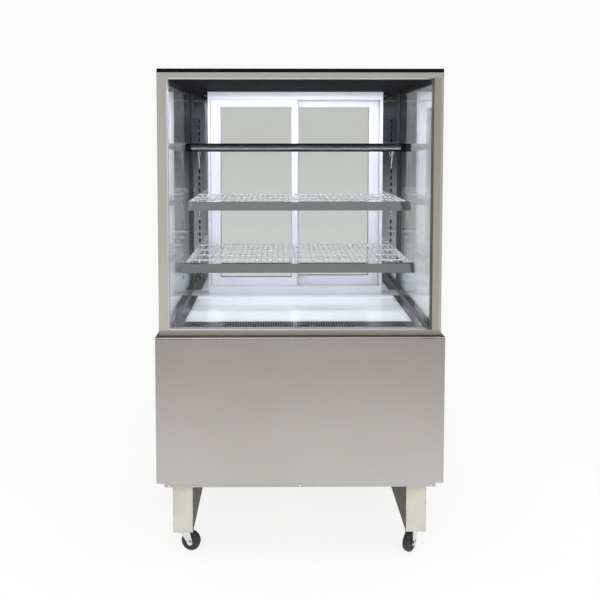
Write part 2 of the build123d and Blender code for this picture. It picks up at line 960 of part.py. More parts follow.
def make_deck_pan():
    """The white deck, a shallow inverted tray that lifts off the ledges."""
    with BuildPart() as deck_pan:
        block((-deck_half, deck_front_y, lip_top), (deck_half, deck_rear_y, deck_top))
        fillet(deck_pan.faces().sort_by(Axis.Z)[-1].edges(), deck_edge)
        offset(amount=-sheet, openings=deck_pan.faces().sort_by(Axis.Z)[0])
    save(deck_pan, "deck_pan")


def make_front_grille():
    """The air grille behind the front glass, a folded sheet with a long row of slots."""
    front = tub_inner_front_y + seat_gap
    back = deck_front_y - seat_gap
    slot_length = back - front - 2 * grille_slot_margin
    with BuildPart() as front_grille:
        block((-deck_half, front, lip_top), (deck_half, back, base_top))
        offset(amount=-sheet, openings=front_grille.faces().sort_by(Axis.Z)[0])
        with BuildSketch(Plane.XY.offset(base_top)):
            with Locations((0, (front + back) / 2)):
                with GridLocations(grille_slot_pitch, 1, grille_slots, 1):
                    Rectangle(grille_slot_width, slot_length)
        extrude(amount=-sheet, mode=Mode.SUBTRACT)
    save(front_grille, "front_grille")


make_tub()
make_side_ledges()
make_deck_pan()
make_front_grille()


# Sliding doors


def make_door_frame():
    """The fixed white frame: sill and header with two grooves each, and a jamb on each side."""
    with BuildPart() as door_frame:
        block((-column_inner, door_frame_y, base_top), (column_inner, rear_panel_y, lid_bottom))
        block(
            (-door_half, door_frame_y, sill_top),
            (door_half, rear_panel_y, header_z),
            mode=Mode.SUBTRACT,
        )
        for middle in (inner_door_y, outer_door_y):
            half = door_thickness / 2 + running_gap
            for low, high in ((track_z, sill_top), (header_z, header_z + header_pocket)):
                block(
                    (-door_half, middle - half, low),
                    (door_half, middle + half, high),
                    mode=Mode.SUBTRACT,
                )
    save(door_frame, "door_frame")


def make_door(side, middle, name, handle_rise):
    """A framed double-glazed sash with a beaded front face and a pull on its outer stile."""
    outer = side * (door_half - running_gap)
    meeting = -side * door_overlap / 2
    window = (side * (door_half - stile), meeting + side * meeting_stile)
    front = middle - door_thickness / 2
    back = middle + door_thickness / 2
    window_bottom = door_bottom + bottom_rail
    window_top = door_top - top_rail
    unit_half = door_pane + door_pane_space / 2
    with BuildPart() as sash:
        block((outer, front, door_bottom), (meeting, back, door_top))
        block((window[0], front, window_bottom), (window[1], back, window_top), mode=Mode.SUBTRACT)
        bead_edges = (
            sash.faces().sort_by(Axis.Y)[0].inner_wires()[0].edges()
            + sash.faces().sort_by(Axis.Y)[-1].inner_wires()[0].edges()
        )
        chamfer(bead_edges, door_bead / 2)
        block(
            (window[0] + side * glass_bite, middle - unit_half, window_bottom - glass_bite),
            (window[1] - side * glass_bite, middle + unit_half, window_top + glass_bite),
            mode=Mode.SUBTRACT,
        )
        handle_x = (outer + window[0]) / 2
        handle_z = base_top + handle_height
        with BuildSketch(Plane.XZ.offset(-back)):
            with Locations((handle_x, handle_z)):
                RectangleRounded(handle_width, handle_length, handle_end)
        extrude(amount=-handle_rise)
        fillet(sash.faces().sort_by(Axis.Y)[-1].edges(), handle_edge)
    save(sash, f"{name}_sash")
    with BuildPart() as door_glass:
        for pane_y in (middle - unit_half, middle + unit_half - door_pane):
            block(
                (window[0] + side * glass_bite, pane_y, window_bottom - glass_bite),
                (window[1] - side * glass_bite, pane_y + door_pane, window_top + glass_bite),
            )
    save(door_glass, f"{name}_glass")


make_door_frame()
make_door(-1, inner_door_y, "left_door", inner_handle_rise)
make_door(1, outer_door_y, "right_door", outer_handle_rise)


# Shelves


def make_wire_shelf(name, shelf):
    """A welded wire shelf: a rim, cross rods under it, and wires that run from front to back."""
    bottom = shelf_bottom_z(shelf)
    depth = shelf["depth"]
    middle_y = shelf_rear_y - depth / 2
    front = shelf_rear_y - depth
    wires = int((shelf_width - 4 * rod) / wire_pitch)
    wire_z = bottom + rod + wire_lift
    cross_z = wire_z - wire - cross_rod_gap - cross_rod
    cross_half = slot_x - bracket_sheet / 2 - seat_gap
    with BuildPart() as wire_shelf:
        with BuildSketch(Plane.XY.offset(bottom)):
            with Locations((0, middle_y)):
                RectangleRounded(shelf_width, depth, rim_corner)
                RectangleRounded(
                    shelf_width - 4 * rod,
                    depth - 4 * rod,
                    rim_corner - 2 * rod,
                    mode=Mode.SUBTRACT,
                )
        extrude(amount=2 * rod)
        ends = wire_shelf.faces().filter_by(Axis.Z)
        chamfer(ends.edges(), rod_chamfer)
        with BuildSketch(Plane.XZ.offset(-front - rod)):
            for number in range(wires):
                x = (number - (wires - 1) / 2) * wire_pitch
                with Locations((x, wire_z)):
                    RegularPolygon(wire, wire_sides, major_radius=False)
        extrude(amount=2 * rod - depth)
        with BuildSketch(Plane.YZ.offset(-cross_half)):
            for number in range(cross_rods):
                y = front + (number + 1) * depth / (cross_rods + 1)
                with Locations((y, cross_z)):
                    RegularPolygon(cross_rod, wire_sides, major_radius=False)
        extrude(amount=2 * cross_half)
    save(wire_shelf, f"{name}_wire_shelf")


def make_ticket_strip(name, shelf):
    """The polished front strip, folded over the rim of its shelf, where the price tickets go."""
    front = shelf_rear_y - shelf["depth"]
    low = shelf_bottom_z(shelf) + 2 * rod
    top = low + strip_sheet
    foot = top - strip_height
    with BuildPart() as ticket_strip:
        with BuildSketch(Plane.YZ.offset(-shelf_width / 2)):
            with BuildLine():
                Polyline(
                    (front + strip_flange, low),
                    (front + strip_flange, top),
                    (front - strip_sheet, top),
                    (front - strip_sheet - strip_lean, foot),
                    (front - strip_lean + strip_return, foot),
                    (front - strip_lean + strip_return, foot + strip_sheet),
                    (front - strip_lean + strip_sheet / 2, foot + strip_sheet),
                    (front, low - rod),
                    (front, low),
                    close=True,
                )
            make_face()
        extrude(amount=shelf_width)
    save(ticket_strip, f"{name}_ticket_strip")


def make_shelf_brackets():
    """Six cantilever brackets, cut from plate, whose hooks drop behind the slots of the columns."""
    with BuildPart() as shelf_brackets:
        for shelf in shelves.values():
            top = shelf_bottom_z(shelf)
            nose = shelf_rear_y - shelf["depth"] + bracket_reach
            arm_y = column_front_y - bracket_curve
            hook_y = column_front_y + sheet + seat_gap
            for x in (-slot_x, slot_x):
                with BuildSketch(Plane.YZ.offset(x - bracket_sheet / 2)):
                    with BuildLine():
                        Polyline(
                            (arm_y, top - bracket_arm),
                            (nose, top - bracket_nose),
                            (nose, top),
                            (column_front_y, top),
                            (column_front_y, top - bracket_root),
                        )
                        TangentArc(
                            (arm_y, top - bracket_arm),
                            (column_front_y, top - bracket_root),
                            tangent=(1, 0),
                        )
                    make_face()
                    for step in (0, hook_slots):
                        foot = slot_z(shelf["slot"] - step)
                        with Locations(((column_front_y + hook_y) / 2, foot + hook_height / 2)):
                            Rectangle(hook_y - column_front_y, hook_height)
                        with Locations((hook_y + hook_thickness / 2, foot + (hook_height - hook_drop) / 2)):
                            Rectangle(hook_thickness, hook_height + hook_drop)
                extrude(amount=bracket_sheet)
    save(shelf_brackets, "shelf_brackets")


for shelf_name, shelf_sizes in shelves.items():
    make_wire_shelf(shelf_name, shelf_sizes)
    make_ticket_strip(shelf_name, shelf_sizes)
make_shelf_brackets()


def make_lamp():
    """The light behind the front top rail: an aluminium channel with an opal strip in it."""
    front = frame_back_y + lamp_front_gap
    back = front + lamp_width
    low = lid_bottom - lamp_height
    half = opening_half - lamp_end_gap
    with BuildPart() as lamp_housing:
        block((-half, front, low), (half, back, lid_bottom))
        block(
            (-half + lamp_sheet, front + lamp_sheet, low),
            (half - lamp_sheet, back - lamp_sheet, lid_bottom - lamp_sheet),
            mode=Mode.SUBTRACT,
        )
    save(lamp_housing, "lamp_housing")
    with BuildPart() as lamp_diffuser:
        block(
            (-half + lamp_sheet, front + lamp_sheet, low),
            (half - lamp_sheet, back - lamp_sheet, lid_bottom - lamp_sheet),
        )
        fillet(lamp_diffuser.faces().sort_by(Axis.Z)[0].edges().filter_by(Axis.X), diffuser_edge)
    save(lamp_diffuser, "lamp_diffuser")


make_lamp()


# Cooling unit


def make_coil(name, centre, size, fins):
    """A finned coil: a core with its plate fins standing proud all round."""
    x, y, z = centre
    length, depth, height = size
    with BuildPart() as coil:
        block(
            (x - length / 2, y - depth / 2 + fin_stand, z - height / 2 + fin_stand),
            (x + length / 2, y + depth / 2 - fin_stand, z + height / 2 - fin_stand),
        )
        for number in range(fins):
            fin_x = x + (number / (fins - 1) - 0.5) * (length - fin)
            block(
                (fin_x - fin / 2, y - depth / 2, z - height / 2),
                (fin_x + fin / 2, y + depth / 2, z + height / 2),
            )
    save(coil, name)


def make_fan(name, centre, radius, hub, hub_depth, blade_width):
    """An axial fan about a fore-and-aft shaft: a hub and five blades twisted from root to tip."""
    across = Vector(*centre)
    with BuildPart() as fan:
        with BuildSketch(Plane(origin=across - Vector(0, hub_depth / 2, 0), z_dir=(0, 1, 0))):
            Circle(hub)
        extrude(amount=hub_depth)
        for number in range(blade_count):
            angle = radians(360 * number / blade_count)
            outward = Vector(cos(angle), 0, sin(angle))
            around = Vector(-sin(angle), 0, cos(angle))
            root = (hub - blade_clear, blade_root_angle, blade_width * blade_root_share)
            tip = (radius, blade_tip_angle, blade_width)
            for reach, twist, width in (root, tip):
                chord = around * cos(radians(twist)) + Vector(0, 1, 0) * sin(radians(twist))
                with BuildSketch(Plane(origin=across + outward * reach, x_dir=chord, z_dir=outward)):
                    Rectangle(width, blade_sheet)
            loft()
        with BuildSketch(Plane(origin=across - Vector(0, hub_depth / 2, 0), z_dir=(0, 1, 0))):
            Circle(shaft_radius + pin_gap)
        extrude(amount=hub_depth, mode=Mode.SUBTRACT)
    save(fan, name)


def make_fan_motor(name, centre, hub_depth, bracket_y, body, arm):
    """A fan motor on a cross of flat arms, with its shaft in the fan's hub."""
    x, y, z = centre
    radius, depth = body
    width, reach = arm
    shaft_start = y - hub_depth / 2
    with BuildPart() as motor:
        for half_x, half_z in ((reach, width / 2), (width / 2, reach)):
            block((x - half_x, bracket_y, z - half_z), (x + half_x, bracket_y + thick_sheet, z + half_z))
        with BuildSketch(Plane(origin=(x, bracket_y, z), z_dir=(0, 1, 0))):
            Circle(radius)
        extrude(amount=thick_sheet + depth)
        fillet(motor.faces().sort_by(Axis.Y)[-1].edges(), thick_sheet)
        with BuildSketch(Plane(origin=(x, shaft_start, z), z_dir=(0, 1, 0))):
            Circle(shaft_radius)
        extrude(amount=bracket_y - shaft_start)
    save(motor, name)


def make_evaporator_unit():
    """The evaporator in the tub, and the upright plate whose fan drives air to the front grille."""
    floor = tub_floor_z
    make_coil(
        "evaporator",
        (0, evaporator_y, floor + evaporator_height / 2),
        (evaporator_length, evaporator_depth, evaporator_height),
        evaporator_fins,
    )
    plate_back = fan_plate_y + thick_sheet
    centre = (0, fan_plate_y - running_gap - fan_hub_depth / 2, floor + fan_plate_height / 2)
    with BuildPart() as fan_plate:
        block((-tub_inner, fan_plate_y, floor), (tub_inner, plate_back, floor + fan_plate_height))
        with BuildSketch(Plane.XZ.offset(-fan_plate_y)):
            with Locations((centre[0], centre[2])):
                Circle(fan_radius + fan_tip_gap)
        extrude(amount=-thick_sheet, mode=Mode.SUBTRACT)
    save(fan_plate, "fan_plate")
    make_fan("evaporator_fan", centre, fan_radius, fan_hub, fan_hub_depth, fan_blade_width)
    make_fan_motor(
        "evaporator_fan_motor",
        centre,
        fan_hub_depth,
        plate_back,
        (motor_radius, motor_depth),
        (fan_arm, fan_plate_height / 2),
    )


def make_condensing_unit():
    """The condenser behind the front panel, its shroud, and the fan that draws air through it."""
    low = pan_floor
    middle_z = low + condenser_height / 2
    back = condenser_y + condenser_depth / 2
    half = condenser_length / 2
    make_coil(
        "condenser",
        (condenser_x, condenser_y, middle_z),
        (condenser_length, condenser_depth, condenser_height),
        condenser_fins,
    )
    shroud_back = back + shroud_depth
    with BuildPart() as shroud:
        block((condenser_x - half, back, low), (condenser_x + half, shroud_back, low + condenser_height))
        offset(amount=-sheet, openings=shroud.faces().sort_by(Axis.Y)[0])
        with BuildSketch(Plane.XZ.offset(-shroud_back)):
            with Locations((condenser_x, middle_z)):
                Circle(condenser_fan_radius + fan_tip_gap)
        extrude(amount=sheet, mode=Mode.SUBTRACT)
    save(shroud, "condenser_shroud")
    centre = (condenser_x, shroud_back - running_gap - condenser_hub_depth / 2, middle_z)
    make_fan(
        "condenser_fan",
        centre,
        condenser_fan_radius,
        condenser_hub,
        condenser_hub_depth,
        condenser_blade_width,
    )
    make_fan_motor(
        "condenser_fan_motor",
        centre,
        condenser_hub_depth,
        shroud_back,
        (condenser_motor_radius, condenser_motor_depth),
        (condenser_arm, condenser_fan_radius + 2 * fan_tip_gap),
    )


def make_compressor():
    """A hermetic compressor: two deep-drawn shells with a seam, on a plate with rubber feet."""
    plate_low = pan_floor + compressor_foot
    pot_low = plate_low + compressor_plate
    pot_high = pot_low + compressor_height
    seam_z = (pot_low + pot_high) / 2
    feet_x = compressor_plate_width / 2 - compressor_foot_inset
    feet_y = compressor_plate_depth / 2 - compressor_foot_inset
    with BuildPart() as compressor:
        with BuildSketch(Plane(origin=(compressor_x, compressor_y, 0), x_dir=(1, 0, 0), z_dir=(0, -1, 0))):
            with BuildLine():
                Line((0, pot_low), (compressor_bottom_flat, pot_low))
                RadiusArc(
                    (compressor_bottom_flat, pot_low),
                    (compressor_radius, pot_low + compressor_dome),
                    -compressor_bottom_arc,
                )
                Polyline(
                    (compressor_radius, pot_low + compressor_dome),
                    (compressor_radius, seam_z - compressor_seam),
                    (compressor_radius + compressor_seam, seam_z - compressor_seam),
                    (compressor_radius + compressor_seam, seam_z + compressor_seam),
                    (compressor_radius, seam_z + compressor_seam),
                    (compressor_radius, pot_high - compressor_dome),
                )
                RadiusArc(
                    (compressor_radius, pot_high - compressor_dome),
                    (compressor_top_flat, pot_high),
                    -compressor_top_arc,
                )
                Polyline((compressor_top_flat, pot_high), (0, pot_high), (0, pot_low))
            make_face()
        revolve(axis=Axis((compressor_x, compressor_y, 0), (0, 0, 1)))
        with BuildSketch(Plane.XY.offset(plate_low)):
            with Locations((compressor_x, compressor_y)):
                RectangleRounded(compressor_plate_width, compressor_plate_depth, compressor_foot_radius)
        extrude(amount=compressor_plate)
        with BuildSketch(Plane.XY.offset(pan_floor)):
            with Locations((compressor_x, compressor_y)):
                with GridLocations(2 * feet_x, 2 * feet_y, 2, 2):
                    Circle(compressor_foot_radius)
        extrude(amount=compressor_foot)
        box_low = seam_z + compressor_seam
        box_end_x = compressor_x + compressor_radius + terminal_box_depth
        block(
            (compressor_x + compressor_radius / 2, compressor_y - terminal_box_width / 2, box_low),
            (box_end_x, compressor_y + terminal_box_width / 2, box_low + terminal_box_height),
        )
        with BuildSketch(Plane.XY.offset(pot_high - compressor_dome / 2)):
            with Locations((compressor_x, compressor_y)):
                with GridLocations(compressor_radius, 1, 2, 1):
                    Circle(stub_radius)
        extrude(amount=stub_length + compressor_dome / 2)
    save(compressor, "compressor")


def make_drip_tray():
    """The open tray in which the melt water evaporates, on the floor of the base."""
    low = (tray_x - tray_length / 2, tray_y - tray_width / 2, pan_floor)
    high = (tray_x + tray_length / 2, tray_y + tray_width / 2, pan_floor + tray_height)
    with BuildPart() as drip_tray:
        block(low, high)
        offset(amount=-tray_wall, openings=drip_tray.faces().sort_by(Axis.Z)[-1])
    save(drip_tray, "drip_tray")


make_evaporator_unit()
make_condensing_unit()
make_compressor()
make_drip_tray()
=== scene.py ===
# %% [markdown]
# This notebook dresses a refrigerated food display: a glazed cabinet with three wire shelves, on a
# stainless-steel base that holds the cooling unit and rolls on four castors. Its solids come from a
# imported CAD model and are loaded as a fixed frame, so nothing here moves or reshapes them. Each one
# gets a finish, and the small pieces that CAD leaves plain are built here and ride on their carrier.

import json
from math import cos, pi, radians, sin

import bmesh
import bpy
from mathutils import Matrix, Vector


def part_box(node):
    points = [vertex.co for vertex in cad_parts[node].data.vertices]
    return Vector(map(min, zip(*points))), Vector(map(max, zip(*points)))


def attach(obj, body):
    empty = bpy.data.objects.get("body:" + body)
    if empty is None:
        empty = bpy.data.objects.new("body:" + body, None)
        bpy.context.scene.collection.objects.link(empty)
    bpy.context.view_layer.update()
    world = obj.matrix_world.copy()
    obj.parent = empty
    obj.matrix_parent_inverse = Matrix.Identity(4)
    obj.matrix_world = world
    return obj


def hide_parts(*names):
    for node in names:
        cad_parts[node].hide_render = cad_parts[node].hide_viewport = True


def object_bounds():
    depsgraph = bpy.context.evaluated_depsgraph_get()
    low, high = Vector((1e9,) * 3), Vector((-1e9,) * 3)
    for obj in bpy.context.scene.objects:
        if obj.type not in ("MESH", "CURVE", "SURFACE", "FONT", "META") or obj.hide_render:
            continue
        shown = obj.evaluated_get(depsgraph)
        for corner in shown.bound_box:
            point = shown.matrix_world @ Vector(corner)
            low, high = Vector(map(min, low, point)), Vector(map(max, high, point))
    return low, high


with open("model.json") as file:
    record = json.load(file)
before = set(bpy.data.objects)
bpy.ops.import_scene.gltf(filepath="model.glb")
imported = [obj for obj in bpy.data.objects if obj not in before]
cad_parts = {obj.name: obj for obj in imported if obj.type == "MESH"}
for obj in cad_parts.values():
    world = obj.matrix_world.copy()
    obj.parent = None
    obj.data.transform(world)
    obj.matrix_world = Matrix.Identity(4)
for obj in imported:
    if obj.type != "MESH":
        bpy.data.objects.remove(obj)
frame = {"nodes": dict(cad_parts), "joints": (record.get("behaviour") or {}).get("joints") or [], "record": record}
cad_low, cad_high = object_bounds()
nodes = frame["nodes"]
print(len(nodes), "solids between", tuple(cad_low), "and", tuple(cad_high))

# %% [markdown]
# The photographer stood about two metres away with the camera level with the top shelf. The uprights
# hardly lean, so the lens looked almost straight ahead and the picture was framed lower down, as a
# view camera does by sliding its back. A pitched camera would make the base look narrower than it
# is. Blender's shift slides the picture in the same way, as a share of the picture's width.

# %% Camera
tilt_down = 2.86
turn_right = 0.40
scene = bpy.context.scene
camera_data = bpy.data.cameras.new("camera")
camera_data.sensor_width = 36.0
camera_data.lens = 38.4
camera_data.shift_x = 0.029
camera_data.shift_y = -0.212
camera = bpy.data.objects.new("camera", camera_data)
camera.location = (-0.0686, -2.2889, 1.345)
camera.rotation_euler = (radians(90 - tilt_down), 0, radians(-turn_right))
scene.collection.objects.link(camera)
scene.camera = camera
scene.view_settings.view_transform = "Standard"
print("camera", tuple(camera.location))

# %% [markdown]
# Light, floor and finishes are all webs of nodes. Each node takes three or four lines to add, set
# and wire by hand, which hides what the web is for. Two short helpers say it in one call: one adds
# any node, the other a colour ramp.

# %% Nodes by name
def add_node(tree, kind, inputs=None, **options):
    """Adds a node, sets its options, and feeds each input a value or another node's output."""
    made = tree.nodes.new(kind)
    for option, value in options.items():
        setattr(made, option, value)
    for socket, value in (inputs or {}).items():
        if isinstance(value, bpy.types.NodeSocket):
            tree.links.new(value, made.inputs[socket])
        else:
            made.inputs[socket].default_value = value
    return made


def add_ramp(tree, factor, stops):
    """A colour ramp; each stop is a place from 0 to 1 and a grey or a colour."""
    made = add_node(tree, "ShaderNodeValToRGB", {"Fac": factor})
    made.color_ramp.interpolation = "LINEAR"
    elements = made.color_ramp.elements
    while len(elements) < len(stops):
        elements.new(0.5)
    for element, (place, colour) in zip(elements, stops):
        element.position = place
        element.color = (colour, colour, colour, 1) if isinstance(colour, float) else (*colour, 1)
    return made.outputs["Color"]


print("node helpers:", add_node.__name__, add_ramp.__name__)

# %% [markdown]
# Polished steel shows nothing but its surroundings, so the studio matters as much as the metal. The
# real one is a white room whose floor is bright near the cabinet and falls off to a dark space above
# the horizon. Walls and flags could be built for that, but they would stand in the way of other
# views. Here the world itself carries the fall-off, for reflections only: what the eye sees directly,
# also through glass, stays a plain near-white. The tones below run from straight down, at 0, past
# the horizon, at 0.5, to straight up, at 1.

# %% Studio surroundings
room_tones = [
    (0.26, (0.88, 0.86, 0.84)),
    (0.36, (0.62, 0.60, 0.58)),
    (0.41, (0.48, 0.47, 0.46)),
    (0.45, (0.34, 0.335, 0.34)),
    (0.49, (0.06, 0.06, 0.075)),
    (0.60, (0.03, 0.03, 0.042)),
    (0.80, (0.20, 0.20, 0.20)),
    (0.88, (0.34, 0.34, 0.34)),
    (1.00, (0.75, 0.75, 0.75)),
]
seen_colour = (0.955, 0.955, 0.95, 1)
ambient_colour = (0.88, 0.88, 0.90, 1)
world = bpy.data.worlds.new("studio")
world.use_nodes = True
world.cycles.sampling_method = "NONE"
sky = world.node_tree
sky.nodes.clear()
direction = add_node(sky, "ShaderNodeTexCoord").outputs["Generated"]
upwards = add_node(sky, "ShaderNodeSeparateXYZ", {"Vector": direction}).outputs["Z"]
climb = add_node(
    sky, "ShaderNodeMapRange", {"Value": upwards, "From Min": -1.0, "From Max": 1.0}
).outputs["Result"]
reflected = add_ramp(sky, climb, room_tones)
path = add_node(sky, "ShaderNodeLightPath").outputs
plain = add_node(
    sky,
    "ShaderNodeMixRGB",
    {"Fac": path["Is Camera Ray"], "Color1": ambient_colour, "Color2": seen_colour},
).outputs["Color"]
mixed = add_node(
    sky, "ShaderNodeMixRGB", {"Fac": path["Is Glossy Ray"], "Color1": plain, "Color2": reflected}
).outputs["Color"]
background = add_node(sky, "ShaderNodeBackground", {"Color": mixed})
add_node(sky, "ShaderNodeOutputWorld", {"Surface": background.outputs["Background"]})
scene.world = world
print("surroundings with", len(sky.nodes), "nodes")

# %% [markdown]
# A ray that enters this cabinet meets pane after pane: two in each sealed unit, two in each door,
# and mirrors in between. Blender stops a ray after a set number of meetings and paints it black. So
# the limits are raised, most of all for see-through surfaces, or the far panes would turn dark.

# %% How far a ray may go
scene.cycles.transparent_max_bounces = 32
scene.cycles.max_bounces = 16
scene.cycles.glossy_bounces = 8
print("bounces:", scene.cycles.max_bounces, "in all")

# %% [markdown]
# Two tall softboxes stand at the front corners and a wide one hangs overhead. Their size keeps the
# shadows soft. The corner ones are left out of reflections: mirrored in a side glass they would blot
# out the shelves, and the steel has the room's own gradient to reflect.

# %% Softboxes
middle = (cad_low + cad_high) / 2


def add_softbox(name, place, width, height, power, target=middle):
    """A rectangular lamp that faces the middle of the cabinet, or another target."""
    lamp = bpy.data.lights.new(name, "AREA")
    lamp.shape = "RECTANGLE"
    lamp.size, lamp.size_y, lamp.energy = width, height, power
    softbox = bpy.data.objects.new(name, lamp)
    softbox.location = place
    softbox.rotation_euler = (target - Vector(place)).to_track_quat("-Z", "Y").to_euler()
    scene.collection.objects.link(softbox)
    return softbox


corner_softboxes = [
    add_softbox("left_softbox", (-2.3, -2.5, 1.3), width=1.1, height=2.2, power=26),
    add_softbox("right_softbox", (2.2, -2.3, 1.1), width=1.2, height=2.2, power=34),
]
add_softbox("overhead_softbox", (0.2, -0.6, 3.6), width=2.6, height=1.8, power=30)
for softbox in corner_softboxes:
    softbox.visible_glossy = False

# %% [markdown]
# Inside, the cabinet is lit by its own strip under the top. A glowing material alone would do, but
# polished columns would then show the strip as hard streaks that the real, hooded one never makes. So
# the strip glows only a little, and a lamp of its size shines just below it, hidden from reflections.
# A second, wide one stands for the light that bounces about inside, and a big one fills from the front.

# %% Lamp inside the cabinet
strip_low, strip_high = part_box("lamp_diffuser")
lamp_drop = 0.0035
glow_drop = 0.012
cool_white = (0.93, 0.955, 1.0)
under_strip = Vector((0, (strip_low.y + strip_high.y) / 2, strip_low.z - lamp_drop))
under_ceiling = Vector((0, 0.02, strip_low.z - glow_drop))
deck_middle = Vector((0, 0.12, 0.80))
deck_front = Vector((0, 0.03, 0.7))
strip_width = strip_high.x - strip_low.x
inner_lamp = add_softbox(
    "inner_lamp", under_strip, width=strip_width, height=0.028, power=5.5, target=deck_middle
)
ceiling_glow = add_softbox(
    "ceiling_glow", under_ceiling, width=0.78, height=0.36, power=5.0, target=deck_front
)
front_fill = add_softbox("front_fill", (-0.3, -3.2, 1.7), width=2.4, height=2.0, power=75)
for lamp in (inner_lamp, ceiling_glow, front_fill):
    lamp.visible_glossy = False
    lamp.visible_camera = False
for lamp in (inner_lamp, ceiling_glow):
    lamp.data.color = cool_white
print("inner lamp", tuple(round(value, 3) for value in under_strip))

# %% [markdown]
# The floor is a plain pale disc. A square one with a hard edge would draw a horizon behind the
# cabinet, so the disc's rim fades out and runs into the white surroundings. Most of its light is
# its own glow, because a floor that is only lit comes out greyer than the white room around it.

# %% Floor
floor_radius = 2.6
fade_start = 1.1
floor_glow = 0.85
rim_sides = 96
floor_mesh = bpy.data.meshes.new("floor")
disc = bmesh.new()
bmesh.ops.create_circle(disc, cap_ends=True, segments=rim_sides, radius=floor_radius)
disc.to_mesh(floor_mesh)
disc.free()
floor = bpy.data.objects.new("floor", floor_mesh)
scene.collection.objects.link(floor)

floor_paint = bpy.data.materials.new("pale_floor")
floor_paint.use_nodes = True
tree = floor_paint.node_tree
tree.nodes.clear()
place = add_node(tree, "ShaderNodeTexCoord").outputs["Object"]
distance = add_node(tree, "ShaderNodeVectorMath", {0: place}, operation="LENGTH").outputs["Value"]
fade = add_node(
    tree,
    "ShaderNodeMapRange",
    {"Value": distance, "From Min": fade_start, "From Max": floor_radius},
    interpolation_type="SMOOTHSTEP",
).outputs["Result"]
lit = add_node(tree, "ShaderNodeBsdfDiffuse", {"Color": (0.93, 0.93, 0.92, 1)})
glow = add_node(tree, "ShaderNodeEmission", {"Color": (0.94, 0.94, 0.935, 1), "Strength": 1.0})
pale = add_node(
    tree, "ShaderNodeMixShader", {0: floor_glow, 1: lit.outputs["BSDF"], 2: glow.outputs[0]}
)
clear = add_node(tree, "ShaderNodeBsdfTransparent")
blend = add_node(
    tree, "ShaderNodeMixShader", {0: fade, 1: pale.outputs["Shader"], 2: clear.outputs["BSDF"]}
)
add_node(tree, "ShaderNodeOutputMaterial", {"Surface": blend.outputs["Shader"]})
floor_mesh.materials.append(floor_paint)
print("floor radius", floor_radius)

# %% [markdown]
# Every finish starts from one Principled shader, Blender's all-round surface. It could be built
# from separate diffuse and glossy shaders, but this one already balances them, and it is also what
# an exported model understands. The finishes are kept by name, as on a paint shelf.

# %% A shelf of finishes
finishes = {}


def finish_nodes(name):
    """The node tree and the Principled shader of a finish on the shelf."""
    tree = finishes[name].node_tree
    return tree, tree.nodes["Principled BSDF"]


def new_finish(name, colour, roughness, metallic=0.0, coat=0.0):
    """A material with one Principled shader, listed under its name."""
    finish = bpy.data.materials.new(name)
    finish.use_nodes = True
    finishes[name] = finish
    tree, shader = finish_nodes(name)
    shader.inputs["Base Color"].default_value = (*colour, 1)
    shader.inputs["Roughness"].default_value = roughness
    shader.inputs["Metallic"].default_value = metallic
    shader.inputs["Coat Weight"].default_value = coat
    return tree, shader


print("finishes so far:", len(finishes))

# %% [markdown]
# A finish comes alive when its colour and roughness drift a little and its surface has a bump that
# the light can catch. Pictures of metal could be wrapped on, but they blur close up and show seams.
# Noise has neither fault. The solids sit at the origin, so object coordinates are real metres, and
# a noise scale of 200 means features of about 5 mm.

# %% Drift and bump
def noise(tree, scale, detail=3.0, stretch=(1, 1, 1), rough=0.5):
    """Noise in metres; a stretch over 1 packs it tighter along that direction."""
    place = add_node(tree, "ShaderNodeTexCoord").outputs["Object"]
    mapped = add_node(tree, "ShaderNodeMapping", {"Vector": place, "Scale": stretch})
    texture = add_node(
        tree,
        "ShaderNodeTexNoise",
        {"Vector": mapped.outputs["Vector"], "Scale": scale, "Detail": detail, "Roughness": rough},
    )
    return texture.outputs["Fac"]


def vary_colour(tree, shader, factor, dark, light, low=0.3, high=0.7):
    """The base colour runs from dark to light as the factor goes from low to high."""
    colour = add_ramp(tree, factor, [(low, dark), (high, light)])
    tree.links.new(colour, shader.inputs["Base Color"])


def vary_roughness(tree, shader, factor, smooth, dull, low=0.3, high=0.7):
    """The roughness runs from smooth to dull as the factor goes from low to high."""
    value = add_ramp(tree, factor, [(low, float(smooth)), (high, float(dull))])
    tree.links.new(value, shader.inputs["Roughness"])


def add_bump(tree, shader, factor, depth):
    """Raises the surface by up to depth metres where the factor is high."""
    bump = add_node(
        tree, "ShaderNodeBump", {"Height": factor, "Distance": depth, "Strength": 1.0}
    )
    tree.links.new(bump.outputs["Normal"], shader.inputs["Normal"])


print("texture helpers:", noise.__name__, vary_colour.__name__, vary_roughness.__name__)

# %% [markdown]
# The base and the frame are satin stainless steel. The brushing could be cut into the mesh only at
# a huge cost, so it is a noise drawn out along the grain: thousands of hairlines to the metre across
# it, and a few dozen along it. A second, slow noise stands for the uneven polish that makes the sheet look
# alive. The frame's satin is duller: a little of its light is scattered rather than mirrored, so it
# is not quite fully metallic.

# %% Brushed steel
def brushed_steel(name, dark, light, smooth, dull, grain):
    """Satin steel whose hairlines are packed tight across the grain."""
    tree, shader = new_finish(name, light, dull, metallic=1.0)
    hairlines = noise(tree, 60, detail=6, stretch=grain, rough=0.6)
    clouds = noise(tree, 2.2, detail=2)
    vary_colour(tree, shader, clouds, dark, light)
    vary_roughness(tree, shader, hairlines, smooth, dull)
    add_bump(tree, shader, hairlines, depth=0.00002)


